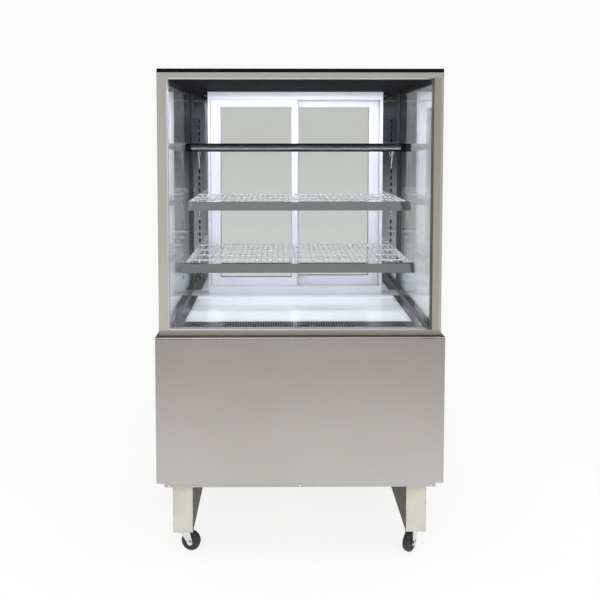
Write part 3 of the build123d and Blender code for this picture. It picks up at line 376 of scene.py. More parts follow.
level_grain = (0.6, 0.6, 40)
upright_grain = (40, 40, 0.6)
brushed_steel("base_steel", (0.525, 0.495, 0.475), (0.58, 0.55, 0.53), 0.30, 0.42, level_grain)
brushed_steel("frame_steel", (0.57, 0.555, 0.495), (0.62, 0.605, 0.55), 0.42, 0.54, upright_grain)
brushed_steel("rear_steel", (0.60, 0.60, 0.60), (0.68, 0.68, 0.68), 0.30, 0.42, level_grain)
brushed_steel("pan_steel", (0.50, 0.49, 0.47), (0.60, 0.59, 0.57), 0.34, 0.50, level_grain)
frame_tree, frame_shader = finish_nodes("frame_steel")
frame_shader.inputs["Metallic"].default_value = 0.85
print("brushed finishes:", [name for name in finishes if "steel" in name])

# %% [markdown]
# The columns, ledges and ticket strips are mirror-polished sheet. A perfect mirror looks false,
# because thin sheet is never quite flat: a slow, shallow bump bends what it reflects, and a haze of
# fine wiping marks dulls it here and there. The ledges and the grille are hazier than the rest.

# %% Mirror steel
def mirror_steel(name, colour, smooth, dull, wave):
    """Polished sheet with a slow waviness and a light haze."""
    tree, shader = new_finish(name, colour, smooth, metallic=1.0)
    haze = noise(tree, 25, detail=5, stretch=(1, 1, 2.5), rough=0.65)
    vary_roughness(tree, shader, haze, smooth, dull, low=0.4, high=0.75)
    add_bump(tree, shader, noise(tree, 9, detail=1), depth=wave)


mirror_steel("column_steel", (0.70, 0.72, 0.76), 0.02, 0.07, wave=0.0003)
mirror_steel("ledge_steel", (0.90, 0.91, 0.93), 0.08, 0.22, wave=0.0004)
mirror_steel("strip_steel", (0.66, 0.66, 0.68), 0.05, 0.10, wave=0.0002)
mirror_steel("grille_steel", (0.60, 0.60, 0.66), 0.18, 0.30, wave=0.0002)
print("finishes so far:", len(finishes))

# %% [markdown]
# Galvanised sheet shows a spangle of zinc crystals, each a flat patch with its own tone. Smooth
# noise has no such patches. A Voronoi texture does: it gives one random value per cell. Bright zinc
# plate, on the castors and screws, has the same idea at a much finer scale.

# %% Zinc
def zinc_coat(name, dark, light, smooth, dull, crystal):
    """Metal covered in crystals of about the given size in metres."""
    tree, shader = new_finish(name, light, dull, metallic=1.0)
    place = add_node(tree, "ShaderNodeTexCoord").outputs["Object"]
    cells = add_node(tree, "ShaderNodeTexVoronoi", {"Vector": place, "Scale": 1 / crystal})
    tone = add_node(tree, "ShaderNodeSeparateColor", {"Color": cells.outputs["Color"]}).outputs["Red"]
    vary_colour(tree, shader, tone, dark, light, low=0.0, high=1.0)
    vary_roughness(tree, shader, tone, smooth, dull, low=0.0, high=1.0)
    add_bump(tree, shader, noise(tree, 300), depth=0.00005)


zinc_coat("galvanised_sheet", (0.42, 0.43, 0.45), (0.60, 0.61, 0.62), 0.30, 0.50, crystal=0.012)
zinc_coat("zinc_plate", (0.66, 0.66, 0.66), (0.82, 0.82, 0.81), 0.16, 0.32, crystal=0.0015)
print("finishes so far:", len(finishes))

# %% [markdown]
# Several finishes change from place to place on one solid. The solid could be cut up, one material
# to a piece, but then it would no longer be the CAD's own. A mask does it without a cut: sums on a
# point's position give 1 where the second look belongs and 0 elsewhere.

# %% Masks by place
def calculate(tree, operation, *values, clamp=False):
    """One sum; each value is a number or another node's output."""
    inputs = dict(enumerate(values))
    return add_node(
        tree, "ShaderNodeMath", inputs, operation=operation, use_clamp=clamp
    ).outputs[0]


def multiply(tree, first, second):
    """The product of two factors, held between 0 and 1."""
    return calculate(tree, "MULTIPLY", first, second, clamp=True)


def axes_of(tree):
    """The X, Y and Z of a point in metres."""
    place = add_node(tree, "ShaderNodeTexCoord").outputs["Object"]
    return add_node(tree, "ShaderNodeSeparateXYZ", {"Vector": place}).outputs


def between(tree, position, low, high):
    """1 where a position lies between two limits, and 0 elsewhere."""
    above = calculate(tree, "GREATER_THAN", position, low)
    below = calculate(tree, "LESS_THAN", position, high)
    return multiply(tree, above, below)


def recolour(tree, shader, mask, colour):
    """Another colour, or colour output, where the mask is 1, over what the shader has so far."""
    socket = shader.inputs["Base Color"]
    links = socket.links
    before = links[0].from_socket if links else tuple(socket.default_value)
    after = colour if isinstance(colour, bpy.types.NodeSocket) else (*colour, 1)
    mixed = add_node(
        tree, "ShaderNodeMixRGB", {"Fac": mask, "Color1": before, "Color2": after}
    ).outputs["Color"]
    tree.links.new(mixed, socket)


print("mask helpers:", between.__name__, recolour.__name__)

# %% [markdown]
# The stands are cream powder coat, a matte paint baked on, with a fine orange-peel skin. Their inner
# faces look at each other under the base and are much darker in the photograph. Little light gets in
# there and nobody wipes them, so they are painted near black: painted shade together with grime.
# A face looks inwards where its normal and its X have opposite signs, so one product tells the two
# kinds of face apart.

# %% Stand paint
cream_dark = (0.335, 0.33, 0.28)
cream_light = (0.385, 0.38, 0.33)
# Painted shade and grime: a near-black colour for the faces that look inwards.
inner_shade_and_grime_colour = (0.05, 0.048, 0.036)
inner_limit = -0.2
tree, shader = new_finish("stand_paint", cream_light, 0.85)
shader.inputs["Specular IOR Level"].default_value = 0.18
vary_colour(tree, shader, noise(tree, 12), cream_dark, cream_light)
axes = axes_of(tree)
facing = add_node(tree, "ShaderNodeNewGeometry").outputs["Normal"]
facing_x = add_node(tree, "ShaderNodeSeparateXYZ", {"Vector": facing}).outputs["X"]
outwards = calculate(tree, "MULTIPLY", axes["X"], facing_x)
# Faces that look inwards take the painted shade and grime.
inner_shade_and_grime = calculate(tree, "LESS_THAN", outwards, inner_limit)
recolour(tree, shader, inner_shade_and_grime, inner_shade_and_grime_colour)
add_bump(tree, shader, noise(tree, 900, detail=2), depth=0.00004)
print("stand paint from", cream_dark, "to", cream_light)

# %% [markdown]
# The paint has been knocked about. Chips and grime gather along the folded edges and near the
# castors. Spots could be placed one by one, but wear follows a rule: it is worst at an edge and
# fades away from it. So a band along each edge is broken up by noise, and a few scuffs lie anywhere.

# %% Wear on the stands
def edge_band(tree, position, edge, reach):
    """1 at an edge, falling to 0 at the given reach from it."""
    gap = calculate(tree, "ABSOLUTE", calculate(tree, "SUBTRACT", position, edge))
    return add_node(
        tree,
        "ShaderNodeMapRange",
        {"Value": gap, "From Min": 0.0, "From Max": reach, "To Min": 1.0, "To Max": 0.0},
    ).outputs["Result"]


def strongest(tree, first, *others):
    """The largest of several factors."""
    for other in others:
        first = calculate(tree, "MAXIMUM", first, other)
    return first


stand_low, stand_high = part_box("left_stand")
fold_reach = 0.004
foot_reach = 0.006
rust = (0.10, 0.085, 0.055)
sideways = calculate(tree, "ABSOLUTE", axes["X"])
edges = strongest(
    tree,
    edge_band(tree, sideways, -stand_low.x, fold_reach),
    edge_band(tree, sideways, -stand_high.x, fold_reach),
    edge_band(tree, axes["Z"], stand_low.z, foot_reach),
)
chips = add_ramp(tree, noise(tree, 140, detail=6, rough=0.7), [(0.50, 0.0), (0.60, 1.0)])
scuff_noise = noise(tree, 45, detail=8, stretch=(1, 1, 3), rough=0.75)
scuffs = add_ramp(tree, scuff_noise, [(0.62, 0.0), (0.74, 0.30)])
grime = strongest(tree, multiply(tree, edges, chips), scuffs)
recolour(tree, shader, grime, rust)
vary_roughness(tree, shader, grime, 0.52, 0.85, low=0.0, high=1.0)
print("stands worn along", round(-stand_low.x, 3), "and", round(-stand_high.x, 3))

# %% [markdown]
# Plastics and paints differ mostly in gloss and in the skin the mould or the spray leaves. Each
# could have its own web, but they would all be alike. One helper makes them: a slight drift of tone,
# a fine bump, and a coat where the real one is lacquered.

# %% Paints, plastics and rubber
def coated(name, dark, light, smooth, dull, grain, depth, coat=0.0):
    """A moulded or painted finish with a grain of so many features to the metre."""
    tree, shader = new_finish(name, light, dull, coat=coat)
    drift = noise(tree, 6)
    skin = noise(tree, grain, detail=2)
    vary_colour(tree, shader, drift, dark, light)
    vary_roughness(tree, shader, skin, smooth, dull)
    add_bump(tree, shader, skin, depth)
    return tree, shader


coated("white_plastic", (0.56, 0.55, 0.63), (0.61, 0.60, 0.68), 0.24, 0.34, 500, 0.00002, 0.3)
coated("white_enamel", (0.86, 0.89, 0.94), (0.91, 0.94, 0.985), 0.18, 0.28, 350, 0.00002, 0.4)
coated("black_rubber", (0.012, 0.012, 0.012), (0.030, 0.029, 0.028), 0.50, 0.70, 700, 0.00005)
coated("black_plastic", (0.020, 0.020, 0.021), (0.034, 0.034, 0.035), 0.34, 0.48, 1100, 0.00004)
coated("grey_keys", (0.30, 0.31, 0.32), (0.36, 0.37, 0.38), 0.40, 0.52, 1000, 0.00003)
coated("black_paint", (0.012, 0.012, 0.013), (0.022, 0.022, 0.024), 0.12, 0.24, 160, 0.00010, 0.5)
print("finishes so far:", len(finishes))

# %% [markdown]
# Two more start from the same helper and need one socket each. The lid and ceiling are a dead matte
# black, so nearly all their shine is taken away: any gloss there would mirror the lit shelves. The
# rocker of the light switch is green plastic with a small lamp behind it, so it glows faintly.

# %% Matte black and the lit rocker
_, shader = coated(
    "black_lid", (0.0030, 0.0030, 0.0032), (0.0055, 0.0055, 0.0058), 0.60, 0.75, 900, 0.00003
)
shader.inputs["Specular IOR Level"].default_value = 0.02
_, shader = coated(
    "green_rocker", (0.02, 0.28, 0.06), (0.03, 0.36, 0.09), 0.12, 0.20, 600, 0.00002, 0.5
)
shader.inputs["Emission Color"].default_value = (0.05, 0.9, 0.15, 1)
shader.inputs["Emission Strength"].default_value = 0.35
print("finishes so far:", len(finishes))

# %% [markdown]
# The shelves are bright-plated wire, and the coils plain aluminium. Fully metallic wire would turn
# black wherever it mirrors the dark part of the room, so it is part metal, part pale scatter, as a
# plating full of fine scratches is.

# %% Bright wire and aluminium
tree, shader = new_finish("bright_wire", (0.94, 0.94, 0.95), 0.24, metallic=0.7)
vary_roughness(tree, shader, noise(tree, 120, detail=4), 0.18, 0.32)
add_bump(tree, shader, noise(tree, 500, detail=2), depth=0.00003)
fin_grain = (0.5, 30, 30)
brushed_steel("aluminium", (0.72, 0.73, 0.74), (0.80, 0.81, 0.82), 0.26, 0.42, fin_grain)
print("finishes so far:", len(finishes))

# %% [markdown]
# The lamp's strip sits deep in its channel, and the photograph shows only a thin line of it. If the
# whole strip glowed, the polished ticket strip below would mirror it as a broad band. So the strip
# is dark, and a line along its middle is lit.

# %% The glowing strip
lit_half = 0.0011
lit_colour = (0.93, 0.96, 1, 1)
tree, shader = coated(
    "opal_strip", (0.016, 0.016, 0.017), (0.028, 0.028, 0.030), 0.50, 0.65, 800, 0.00002
)
axes = axes_of(tree)
lit_line = between(tree, axes["Y"], under_strip.y - lit_half, under_strip.y + lit_half)
recolour(tree, shader, lit_line, (0.95, 0.97, 1.0))
glow_line = add_node(
    tree, "ShaderNodeMixRGB", {"Fac": lit_line, "Color1": (0, 0, 0, 1), "Color2": lit_colour}
).outputs["Color"]
tree.links.new(glow_line, shader.inputs["Emission Color"])
shader.inputs["Emission Strength"].default_value = 1.3
print("lit line", 2 * lit_half, "m wide at Y", round(under_strip.y, 3))

# %% [markdown]
# The cabinet's walls are sealed units of two thin panes. Seen straight on, glass lets almost
# everything through; at a grazing angle it turns into a mirror, which is why the side panes repeat
# the shelves. Full refraction would show the same on flat panes but starve the inside of light. So
# the glass is a clear film mixed with a bright one, by Schlick's rule: 2% for coated panes, plus the
# rest times the fifth power of how far the surface turns away.

# %% Glass
def clear_glass(name, tint, head_on=0.02):
    """A thin flat pane: see-through head-on, mirror-bright at a grazing angle."""
    tree, shader = new_finish(name, (0.98, 0.99, 0.985), 0.0, metallic=1.0)
    facing = add_node(tree, "ShaderNodeLayerWeight", {"Blend": 0.5}).outputs["Facing"]
    turned = calculate(tree, "POWER", facing, 5.0)
    share = calculate(tree, "MULTIPLY_ADD", turned, 1.0 - head_on, head_on, clamp=True)
    see_through = add_node(tree, "ShaderNodeBsdfTransparent", {"Color": (*tint, 1)})
    pane = add_node(
        tree,
        "ShaderNodeMixShader",
        {0: share, 1: see_through.outputs["BSDF"], 2: shader.outputs["BSDF"]},
    )
    surface = tree.nodes["Material Output"].inputs["Surface"]
    tree.links.new(pane.outputs["Shader"], surface)


clear_glass("clear_glass", (0.985, 0.990, 0.988))
clear_glass("door_glass", (0.910, 0.910, 0.905))
print("finishes so far:", len(finishes))

# %% [markdown]
# A column is a folded box whose slots look into its hollow, which lies in shade. The hollow's inner
# faces are the same solid as the polished outer ones, so a mask paints what lies under the skin near
# black, as painted shade. Round each slot, a dark band on the front face is painted shade too: it
# makes the dark opening of the slot look wider, and is drawn once in each pitch.

# %% Column hollow and slots
column_low, column_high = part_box("right_column")
sheet_skin = 0.0006
column_lip = 0.012
slot_x = 0.381
slot_foot = 0.792
slot_pitch = 0.025
slot_rows = 26
slot_shade_half = 0.0034
slot_shade_share = 0.60
slot_shade_start = 0.0015
band_margin = 0.002
face_proud = 0.001
face_depth = 0.0012
tree, shader = finish_nodes("column_steel")
axes = axes_of(tree)
sideways = calculate(tree, "ABSOLUTE", axes["X"])
hollow = multiply(
    tree,
    between(tree, sideways, column_low.x + sheet_skin, column_high.x - column_lip),
    between(tree, axes["Y"], column_low.y + sheet_skin, column_high.y - sheet_skin),
)
# Painted shade in the column's hollow.
recolour(tree, shader, hollow, (0.004, 0.004, 0.005))
steps_up = calculate(tree, "SUBTRACT", axes["Z"], slot_foot - slot_shade_start)
phase = calculate(tree, "FRACT", calculate(tree, "DIVIDE", steps_up, slot_pitch))
slot_shade = multiply(
    tree,
    between(tree, sideways, slot_x - slot_shade_half, slot_x + slot_shade_half),
    between(tree, phase, 0.0, slot_shade_share),
)
slot_head = slot_foot + slot_rows * slot_pitch
slot_band = between(tree, axes["Z"], slot_foot - band_margin, slot_head)
front_face = between(tree, axes["Y"], column_low.y - face_proud, column_low.y + face_depth)
slot_shade = multiply(tree, multiply(tree, slot_shade, slot_band), front_face)
# Painted shade round each slot, on the front face only.
recolour(tree, shader, slot_shade, (0.012, 0.012, 0.015))
print("painted_slot_shades on", slot_rows, "slots of each column")

# %% [markdown]
# Two parts of the frame's front look different from the rest in the photograph: the rail at its
# foot mirrors the floor's shadow line, and the right upright is darker than the left. Lamps could
# be set to shade them, but would touch everything else too. So both are painted into the colour,
# and a mask by place keeps it to the rails: a painted reflection of the shadow line on the foot
# rail, and painted shade on the right upright.

# %% Foot rail and right upright
frame_low, frame_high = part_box("display_frame")
foot_rail_top = frame_low.z + 0.0155
head_rail_foot = frame_high.z - 0.016
upright_inner = 0.405
upright_outer = frame_high.x - 0.008
axes = axes_of(frame_tree)
foot_rail = between(frame_tree, axes["Z"], 0.0, foot_rail_top)
# Painted reflection: the floor's shadow line on the foot rail.
recolour(frame_tree, frame_shader, foot_rail, (0.42, 0.395, 0.365))
right_upright = multiply(
    frame_tree,
    between(frame_tree, axes["X"], upright_inner, upright_outer),
    between(frame_tree, axes["Z"], foot_rail_top, head_rail_foot),
)
# Painted shade: the right upright is darker than the left.
recolour(frame_tree, frame_shader, right_upright, (0.49, 0.465, 0.395))
print("foot rail up to", round(foot_rail_top, 4))

# %% [markdown]
# The glazing seals are one solid, but the ring round the front glass is clear silicone while the
# rest is black rubber. Silicone takes its tone from what lies behind it, which is darker at the far
# right. Its colour could be left to transparency; instead a ramp across the width paints that
# see-through tone into the ring's colour, which is simpler and quicker.

# %% Seals round the glass
ring_back = frame_low.y + 0.029
ring_foot = frame_low.z + 0.012
ring_half = 0.42
silicone_tones = [
    (0.0, (0.40, 0.40, 0.38)), (0.96, (0.32, 0.32, 0.30)), (0.985, (0.07, 0.065, 0.06)),
]
tree, shader = coated(
    "seal_rubber", (0.010, 0.010, 0.010), (0.022, 0.022, 0.022), 0.40, 0.55, 700, 0.00003
)
axes = axes_of(tree)
front_ring = multiply(
    tree,
    between(tree, axes["Y"], -1.0, ring_back),
    between(tree, axes["Z"], ring_foot, frame_high.z),
)
across = add_node(
    tree, "ShaderNodeMapRange", {"Value": axes["X"], "From Min": -ring_half, "From Max": ring_half}
).outputs["Result"]
silicone = add_ramp(tree, across, silicone_tones)
# The ring's colour is painted see-through light: the tone of what lies behind it.
recolour(tree, shader, front_ring, silicone)
print("finishes so far:", len(finishes))

# %% [markdown]
# Now each solid takes its finish. Each could be named with its own, but the CAD record already
# gives every solid a material slot, and most follow that. Only those that share a slot and differ
# in the photograph are named here.

# %% Finish every solid
slot_finish = {
    "brushed_steel": "base_steel",
    "mirror_steel": "column_steel",
    "galvanised_steel": "galvanised_sheet",
    "zinc": "zinc_plate",
    "clear_glass": "clear_glass",
    "aluminium": "aluminium",
    "opal": "opal_strip",
}
own_finish = {
    "display_frame": "frame_steel",
    "glazing_seals": "seal_rubber",
    "lamp_housing": "black_lid",
    "rear_louvred_panel": "rear_steel",
    "control_panel": "rear_steel",
    "side_ledges": "ledge_steel",
    "bottom_ticket_strip": "strip_steel",
    "middle_ticket_strip": "strip_steel",
    "top_ticket_strip": "strip_steel",
    "front_grille": "grille_steel",
    "base_pan": "pan_steel",
    "left_door_glass": "door_glass",
    "right_door_glass": "door_glass",
}
slot_of = {part["node"]: part["material_slot"] for part in frame["record"]["subparts"]}
for name, solid in nodes.items():
    chosen = own_finish.get(name, slot_finish.get(slot_of[name], slot_of[name]))
    for holder in solid.material_slots:
        holder.material = finishes[chosen]
print("finished", len(nodes), "solids")

# %% [markdown]
# The rest of the notebook builds small pieces. Every one needs the same three things: a place in the
# scene, a finish, and a body to ride on when the joints move. One helper gives them all, so that no
# piece can be left behind. Another closes a mesh with its faces outwards.

# %% Pieces and their riders
def add_piece(name, data, body, finish):
    """Puts a new piece in the scene, finished, riding on its body."""
    piece = bpy.data.objects.new(name, data)
    scene.collection.objects.link(piece)
    data.materials.append(finishes[finish])
    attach(piece, body)
    return piece


def finish_mesh(name, mesh, smooth=False):
    """Closes a bmesh into a mesh with its faces pointing outwards."""
    bmesh.ops.recalc_face_normals(mesh, faces=mesh.faces)
    data = bpy.data.meshes.new(name)
    mesh.to_mesh(data)
    mesh.free()
    if smooth:
        data.shade_smooth()
    return data


def join_rings(mesh, rings):
    """Faces between each ring of points and the next, all round."""
    for here, there in zip(rings, rings[1:]):
        for number in range(len(here)):
            after = (number + 1) % len(here)
            mesh.faces.new((here[number], here[after], there[after], there[number]))


# %% [markdown]
# The wire shelves are welded rods: a rim bent round the edge, three cross rods, and a row of thin
# wires. CAD keeps the rods few-sided. In the photograph they are round and catch a fine highlight,
# so each shelf is drawn again as one curve object. A curve with a bevel is the natural tool for
# wire: every rod is a line, and its points carry the rod's radius. First come the line of one rod
# and the rounded rectangle of the rim.

# %% Rods and the rim's line
rod_bevel = 0.001
bend_steps = 6


def add_rod(curve, points, radius, closed=False):
    """One rod through the points; the radius is a multiple of the curve's bevel."""
    rod = curve.splines.new("POLY")
    rod.points.add(len(points) - 1)
    for vertex, point in zip(rod.points, points):
        vertex.co = (*point, 1)
        vertex.radius = radius / rod_bevel
    rod.use_cyclic_u = closed


def rounded_rectangle(low, high, radius, z):
    """Points round a level rectangle with rounded corners."""
    points = []
    corners = [(high.x, high.y, 0), (low.x, high.y, 90), (low.x, low.y, 180), (high.x, low.y, 270)]
    for x, y, start in corners:
        centre_x = x - radius if x == high.x else x + radius
        centre_y = y - radius if y == high.y else y + radius
        for step in range(bend_steps + 1):
            angle = radians(start + 90 * step / bend_steps)
            points.append((centre_x + radius * cos(angle), centre_y + radius * sin(angle), z))
    return points


print("each bend of a rim takes", bend_steps, "steps")

# %% [markdown]
# A shelf's rods are laid from the box of its CAD solid, so the drawn shelf fills the same space. The
# wires rest in the rim just under its top, and the cross rods carry them from below. The new piece
# stands for the solid, which stays only where things collide, hidden.

# %% Wire shelves
rim_rod = 0.003
wire = 0.00175
cross_rod = 0.0025
cross_rods = 3
cross_rod_inset = 0.0043
wire_pitch = 0.0194
wire_drop = 0.0018
rim_bend = 0.011


def add_wire_shelf(name):
    """Redraws one CAD shelf with round wires."""
    low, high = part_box(name)
    curve = bpy.data.curves.new(name + "_rods", "CURVE")
    curve.dimensions = "3D"
    curve.bevel_depth = rod_bevel
    curve.bevel_resolution = 3
    curve.use_fill_caps = True
    inset = Vector((rim_rod, rim_rod, 0))
    rim = rounded_rectangle(low + inset, high - inset, rim_bend, high.z - rim_rod)
    add_rod(curve, rim, rim_rod, closed=True)
    wires = int((high.x - low.x - 4 * rim_rod) / wire_pitch)
    for number in range(wires):
        x = (number - (wires - 1) / 2) * wire_pitch
        z = high.z - wire_drop
        add_rod(curve, [(x, low.y + rim_rod, z), (x, high.y - rim_rod, z)], wire)
    half = high.x - cross_rod_inset
    for number in range(1, cross_rods + 1):
        y = low.y + number * (high.y - low.y) / (cross_rods + 1)
        z = low.z + cross_rod
        add_rod(curve, [(-half, y, z), (half, y, z)], cross_rod)
    shelf = add_piece(name + "_wires", curve, "cabinet", "bright_wire")
    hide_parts(name)
    return wires


for shelf_name in ("bottom_wire_shelf", "middle_wire_shelf", "top_wire_shelf"):
    print(shelf_name, "wires:", add_wire_shelf(shelf_name))

# %% [markdown]
# A sliding door's glass is held by a thin dark gasket, which draws the fine line round each pane.
# That line is partly the gasket and partly shade in the recess round the glass, and the dark ring
# stands in for both.
# It is a flat ring with a little thickness. A boolean could cut it from a plate, but a ring is only
# four loops of four corners: outer and inner, front and back, joined all round.

# %% Door gaskets
glass_bite = 0.008
gasket_width = 0.0022
gasket_depth = 0.0016


def add_ring(mesh, low, high, edge):
    """A rectangular ring in the X-Z plane, edge metres wide, filling the box's depth."""
    loops = []
    for inset in (0.0, edge):
        for y in (low.y, high.y):
            loops.append(
                [
                    mesh.verts.new((x, y, z))
                    for x, z in (
                        (low.x + inset, low.z + inset),
                        (high.x - inset, low.z + inset),
                        (high.x - inset, high.z - inset),
                        (low.x + inset, high.z - inset),
                    )
                ]
            )
    outer_front, outer_back, inner_front, inner_back = loops
    join_rings(mesh, [outer_front, inner_front, inner_back, outer_back, outer_front])


for side in ("left", "right"):
    low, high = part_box(side + "_door_glass")
    bite = Vector((glass_bite, 0, glass_bite))
    window_low = low + bite
    window_high = high - bite
    ring = bmesh.new()
    for front, back in ((low.y - gasket_depth, low.y), (high.y, high.y + gasket_depth)):
        add_ring(
            ring,
            Vector((window_low.x, front, window_low.z)),
            Vector((window_high.x, back, window_high.z)),
            gasket_width,
        )
    gasket = finish_mesh(side + "_door_gasket", ring)
    add_piece(side + "_door_gasket", gasket, side + "_door", "grey_keys")
print("door gaskets made,", gasket_width, "m wide")

# %% [markdown]
# Where a side glass meets its column, a black rubber strip closes the joint from floor to ceiling. It
# is a soft section pushed into place: flat at the back, rounded in front. A short profile is pulled
# straight up, which is quicker to read and to change than a box with rounded edges.

# %% Strips between the side glass and the columns
strip_profile = [
    (0.0, 0.0), (0.0095, 0.0), (0.0095, 0.0035), (0.0078, 0.0066), (0.0047, 0.0078),
    (0.0017, 0.0066), (0.0, 0.0035),
]
strip_fit = 0.0002
strip_foot = column_low.z + 0.018
glass_low, glass_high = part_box("right_side_glass")
strip_head = glass_high.z - 0.001
for side, sign in (("left", -1), ("right", 1)):
    section = bmesh.new()
    rings = []
    for z in (strip_foot, strip_head):
        rings.append(
            [
                section.verts.new((sign * (glass_low.x - strip_fit - x), column_low.y - strip_fit - y, z))
                for x, y in strip_profile
            ]
        )
    for ring in rings:
        section.faces.new(ring)
    join_rings(section, rings)
    strip = finish_mesh(side + "_corner_strip", section)
    add_piece(side + "_corner_strip", strip, "cabinet", "black_rubber")
print("corner strips from", round(strip_foot, 3), "to", round(strip_head, 3))

# %% [markdown]
# The castor wheels are turned shapes. A lathe is the right tool: a profile of distance along the
# axle and radius, spun round the axle. The tread is rounded with a shallow groove on each side of
# the crown, and the hub is stepped as the moulded one is. Only half the profile is listed, and the
# other half is its mirror image.

# %% Castor wheels
joint_of = {joint["name"]: joint for joint in frame["joints"]}
corner_names = ("front_left", "front_right", "rear_left", "rear_right")
lathe_steps = 48
tread_half = [
    (0.0, 0.0315), (0.0034, 0.0314), (0.0037, 0.0308), (0.0043, 0.0308), (0.0046, 0.0313),
    (0.0070, 0.0308), (0.0092, 0.0293), (0.0108, 0.0272), (0.0118, 0.0248), (0.0120, 0.0226),
    (0.0113, 0.0217), (0.0100, 0.0212), (0.0100, 0.0120), (0.0108, 0.0112), (0.0108, 0.0082),
    (0.0130, 0.0074), (0.0132, 0.0068), (0.0132, 0.0041),
]
tread = tread_half + [(-along, radius) for along, radius in reversed(tread_half[1:])]


def place_on_axis(centre, axis):
    """A matrix that carries the Z axis to the given axis through the centre."""
    turn = Vector(axis).normalized().to_track_quat("Z", "Y").to_matrix().to_4x4()
    return Matrix.Translation(Vector(centre)) @ turn


def lathe(mesh, profile, centre, axis):
    """Spins (along, radius) points round an axis into closed skin."""
    place = place_on_axis(centre, axis)
    rings = []
    for step in range(lathe_steps):
        angle = 2 * pi * step / lathe_steps
        rings.append(
            [
                mesh.verts.new(place @ Vector((radius * cos(angle), radius * sin(angle), along)))
                for along, radius in profile
            ]
        )
    join_rings(mesh, rings + rings[:1])


for corner in corner_names:
    joint = joint_of[f"wheel_{corner}_roll"]
    wheel = bmesh.new()
    lathe(wheel, tread, joint["pos_m"], joint["axis"])
    name = f"tyre_{corner}"
    tyre = add_piece(
        name, finish_mesh(name, wheel, True), f"wheel_{corner}", "black_rubber"
    )
    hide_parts(f"castor_wheel_{corner}")
print("castor wheels turned:", len(tread), "profile points")

# %% [markdown]
# Each castor plate is held to its stand by four hexagon bolts. A bolt head is a six-sided prism with
# its rim turned off, on a thin round flange. A cylinder primitive has no turned-off rim, so a helper
# stacks rings instead: each level is a distance along the axis and a radius.

# %% Castor bolts
bolt_spread = Vector((0.019, 0.029))
plate_thickness = 0.003
plate_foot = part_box("castor_top_plates")[1].z - plate_thickness
down = (0, 0, -1)
bolt_flange = [(0, 0.0062), (0.0005, 0.0062), (0.0007, 0.0058)]
bolt_head = [(0.0006, 0.0052), (0.0026, 0.0052), (0.0031, 0.0045)]


def add_turned(mesh, centre, axis, levels, sides):
    """A closed solid of stacked rings: each level is a distance along the axis and a radius."""
    place = place_on_axis(centre, axis)
    turns = [2 * pi * number / sides for number in range(sides)]
    rings = []
    for along, radius in levels:
        rings.append(
            [
                mesh.verts.new(place @ Vector((radius * cos(turn), radius * sin(turn), along)))
                for turn in turns
            ]
        )
    join_rings(mesh, rings)
    mesh.faces.new(rings[0])
    mesh.faces.new(rings[-1])


bolts = bmesh.new()
for corner in corner_names:
    pin = Vector(joint_of[f"castor_{corner}_swivel"]["pos_m"])
    for along_x in (-1, 1):
        for along_y in (-1, 1):
            spot = (pin.x + along_x * bolt_spread.x, pin.y + along_y * bolt_spread.y, plate_foot)
            add_turned(bolts, spot, down, bolt_flange, sides=24)
            add_turned(bolts, spot, down, bolt_head, sides=6)
add_piece("castor_bolts", finish_mesh("castor_bolts", bolts), "cabinet", "zinc_plate")
print("bolt heads hang from", round(plate_foot, 4))

# %% [markdown]
# Small rivets hold each column to the cabinet and show as bright dots on its polished face. They
# could be painted on by a mask, but a dome catches a highlight that paint does not. The helper for
# bolts makes them too: four levels that shrink towards the top.

# %% Column rivets
rivet_dome = [(0, 0.0024), (0.0004, 0.0023), (0.0008, 0.0017), (0.0010, 0.0007)]
rivet_x = 0.356
rivet_heights = (0.86, 1.09, 1.33, 1.50, 1.522)
forwards = (0, -1, 0)
rivets = bmesh.new()
for sign in (-1, 1):
    for z in rivet_heights:
        add_turned(rivets, (sign * rivet_x, column_low.y, z), forwards, rivet_dome, sides=16)
add_piece("column_rivets", finish_mesh("column_rivets", rivets, True), "cabinet", "zinc_plate")
print("rivets on each column:", len(rivet_heights))

# %% [markdown]
# The thermostat on the back shows the temperature inside in two seven-segment digits. A text object
# would give printed figures, not the pointed bars of a display. A digit is only which of its seven
# bars are lit, so a bar is drawn once and placed seven ways. Seen from behind, X runs to the left, so
# the digits are laid out that way round.

# %% Thermostat digits
bar_width = 0.0011
bar_length = 0.0048
bar_gap = 0.0003
bar_depth = 0.0002
digit_step = 0.0042
lit_bars = {"0": "abcdef", "3": "abcdg"}
controller_low, controller_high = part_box("controller")
display_x = (controller_low.x + controller_high.x) / 2 - 0.014
display_y = controller_high.y - 0.0008
display_z = (controller_low.z + controller_high.z) / 2
tree, shader = new_finish("digit_glow", (0.25, 0.02, 0.01), 0.4)
vary_roughness(tree, shader, noise(tree, 900, detail=1), 0.35, 0.5)
shader.inputs["Emission Color"].default_value = (1.0, 0.10, 0.04, 1)
shader.inputs["Emission Strength"].default_value = 1.6


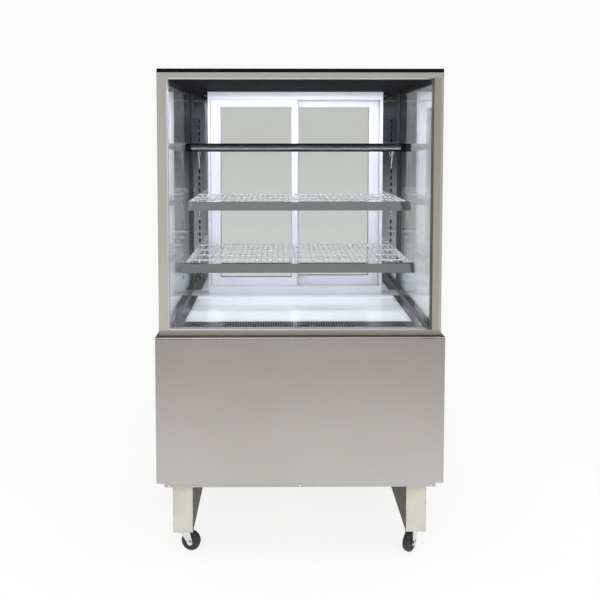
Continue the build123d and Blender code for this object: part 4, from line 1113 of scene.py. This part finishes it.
def add_plate(mesh, outline, y, depth):
    """A flat solid from points (x, z), standing depth proud of y towards the back."""
    near = [mesh.verts.new((x, y, z)) for x, z in outline]
    far = [mesh.verts.new((x, y + depth, z)) for x, z in outline]
    mesh.faces.new(near)
    mesh.faces.new(far)
    join_rings(mesh, [near, far])


def bar(x, z, length, upright):
    """A pointed bar of a digit, centred on (x, z)."""
    half, thick = length / 2, bar_width / 2
    along = [
        (-half, 0), (thick - half, thick), (half - thick, thick), (half, 0),
        (half - thick, -thick), (thick - half, -thick),
    ]
    return [(x + b, z + a) if upright else (x + a, z + b) for a, b in along]


digits = bmesh.new()
half = bar_length / 2
for digit, x in (("0", display_x + digit_step), ("3", display_x - digit_step)):
    places = {
        "a": (x, display_z + bar_length, False), "g": (x, display_z, False),
        "d": (x, display_z - bar_length, False), "b": (x - half, display_z + half, True),
        "c": (x - half, display_z - half, True), "f": (x + half, display_z + half, True),
        "e": (x + half, display_z - half, True),
    }
    for letter in lit_bars[digit]:
        bar_x, bar_z, upright = places[letter]
        outline = bar(bar_x, bar_z, bar_length - bar_gap, upright)
        add_plate(digits, outline, display_y, bar_depth)
add_piece(
    "thermostat_digits", finish_mesh("thermostat_digits", digits), "cabinet", "digit_glow"
)
print("digits at", round(display_x, 3), round(display_z, 3))

# %% [markdown]
# The thermostat's two keys bear an arrow each, up and down. A print would need a picture, and the
# key is a plain box, so the arrow is a thin raised triangle. It rides on its own key and goes in
# with it when the key is pressed.

# %% Arrows on the keys
arrow_half = 0.0022
arrow_foot = 0.0012
arrow_tip = 0.0016
arrow_depth = 0.00015
for name, rise in (("up_key", 1), ("down_key", -1)):
    key_low, key_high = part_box("controller_" + name)
    x, z = (key_low.x + key_high.x) / 2, (key_low.z + key_high.z) / 2
    foot = z - rise * arrow_foot
    outline = [(x - arrow_half, foot), (x + arrow_half, foot), (x, z + rise * arrow_tip)]
    arrow = bmesh.new()
    add_plate(arrow, outline, key_high.y, arrow_depth)
    add_piece(name + "_arrow", finish_mesh(name + "_arrow", arrow), name, "white_plastic")
print("arrows", arrow_depth, "m proud of their keys")
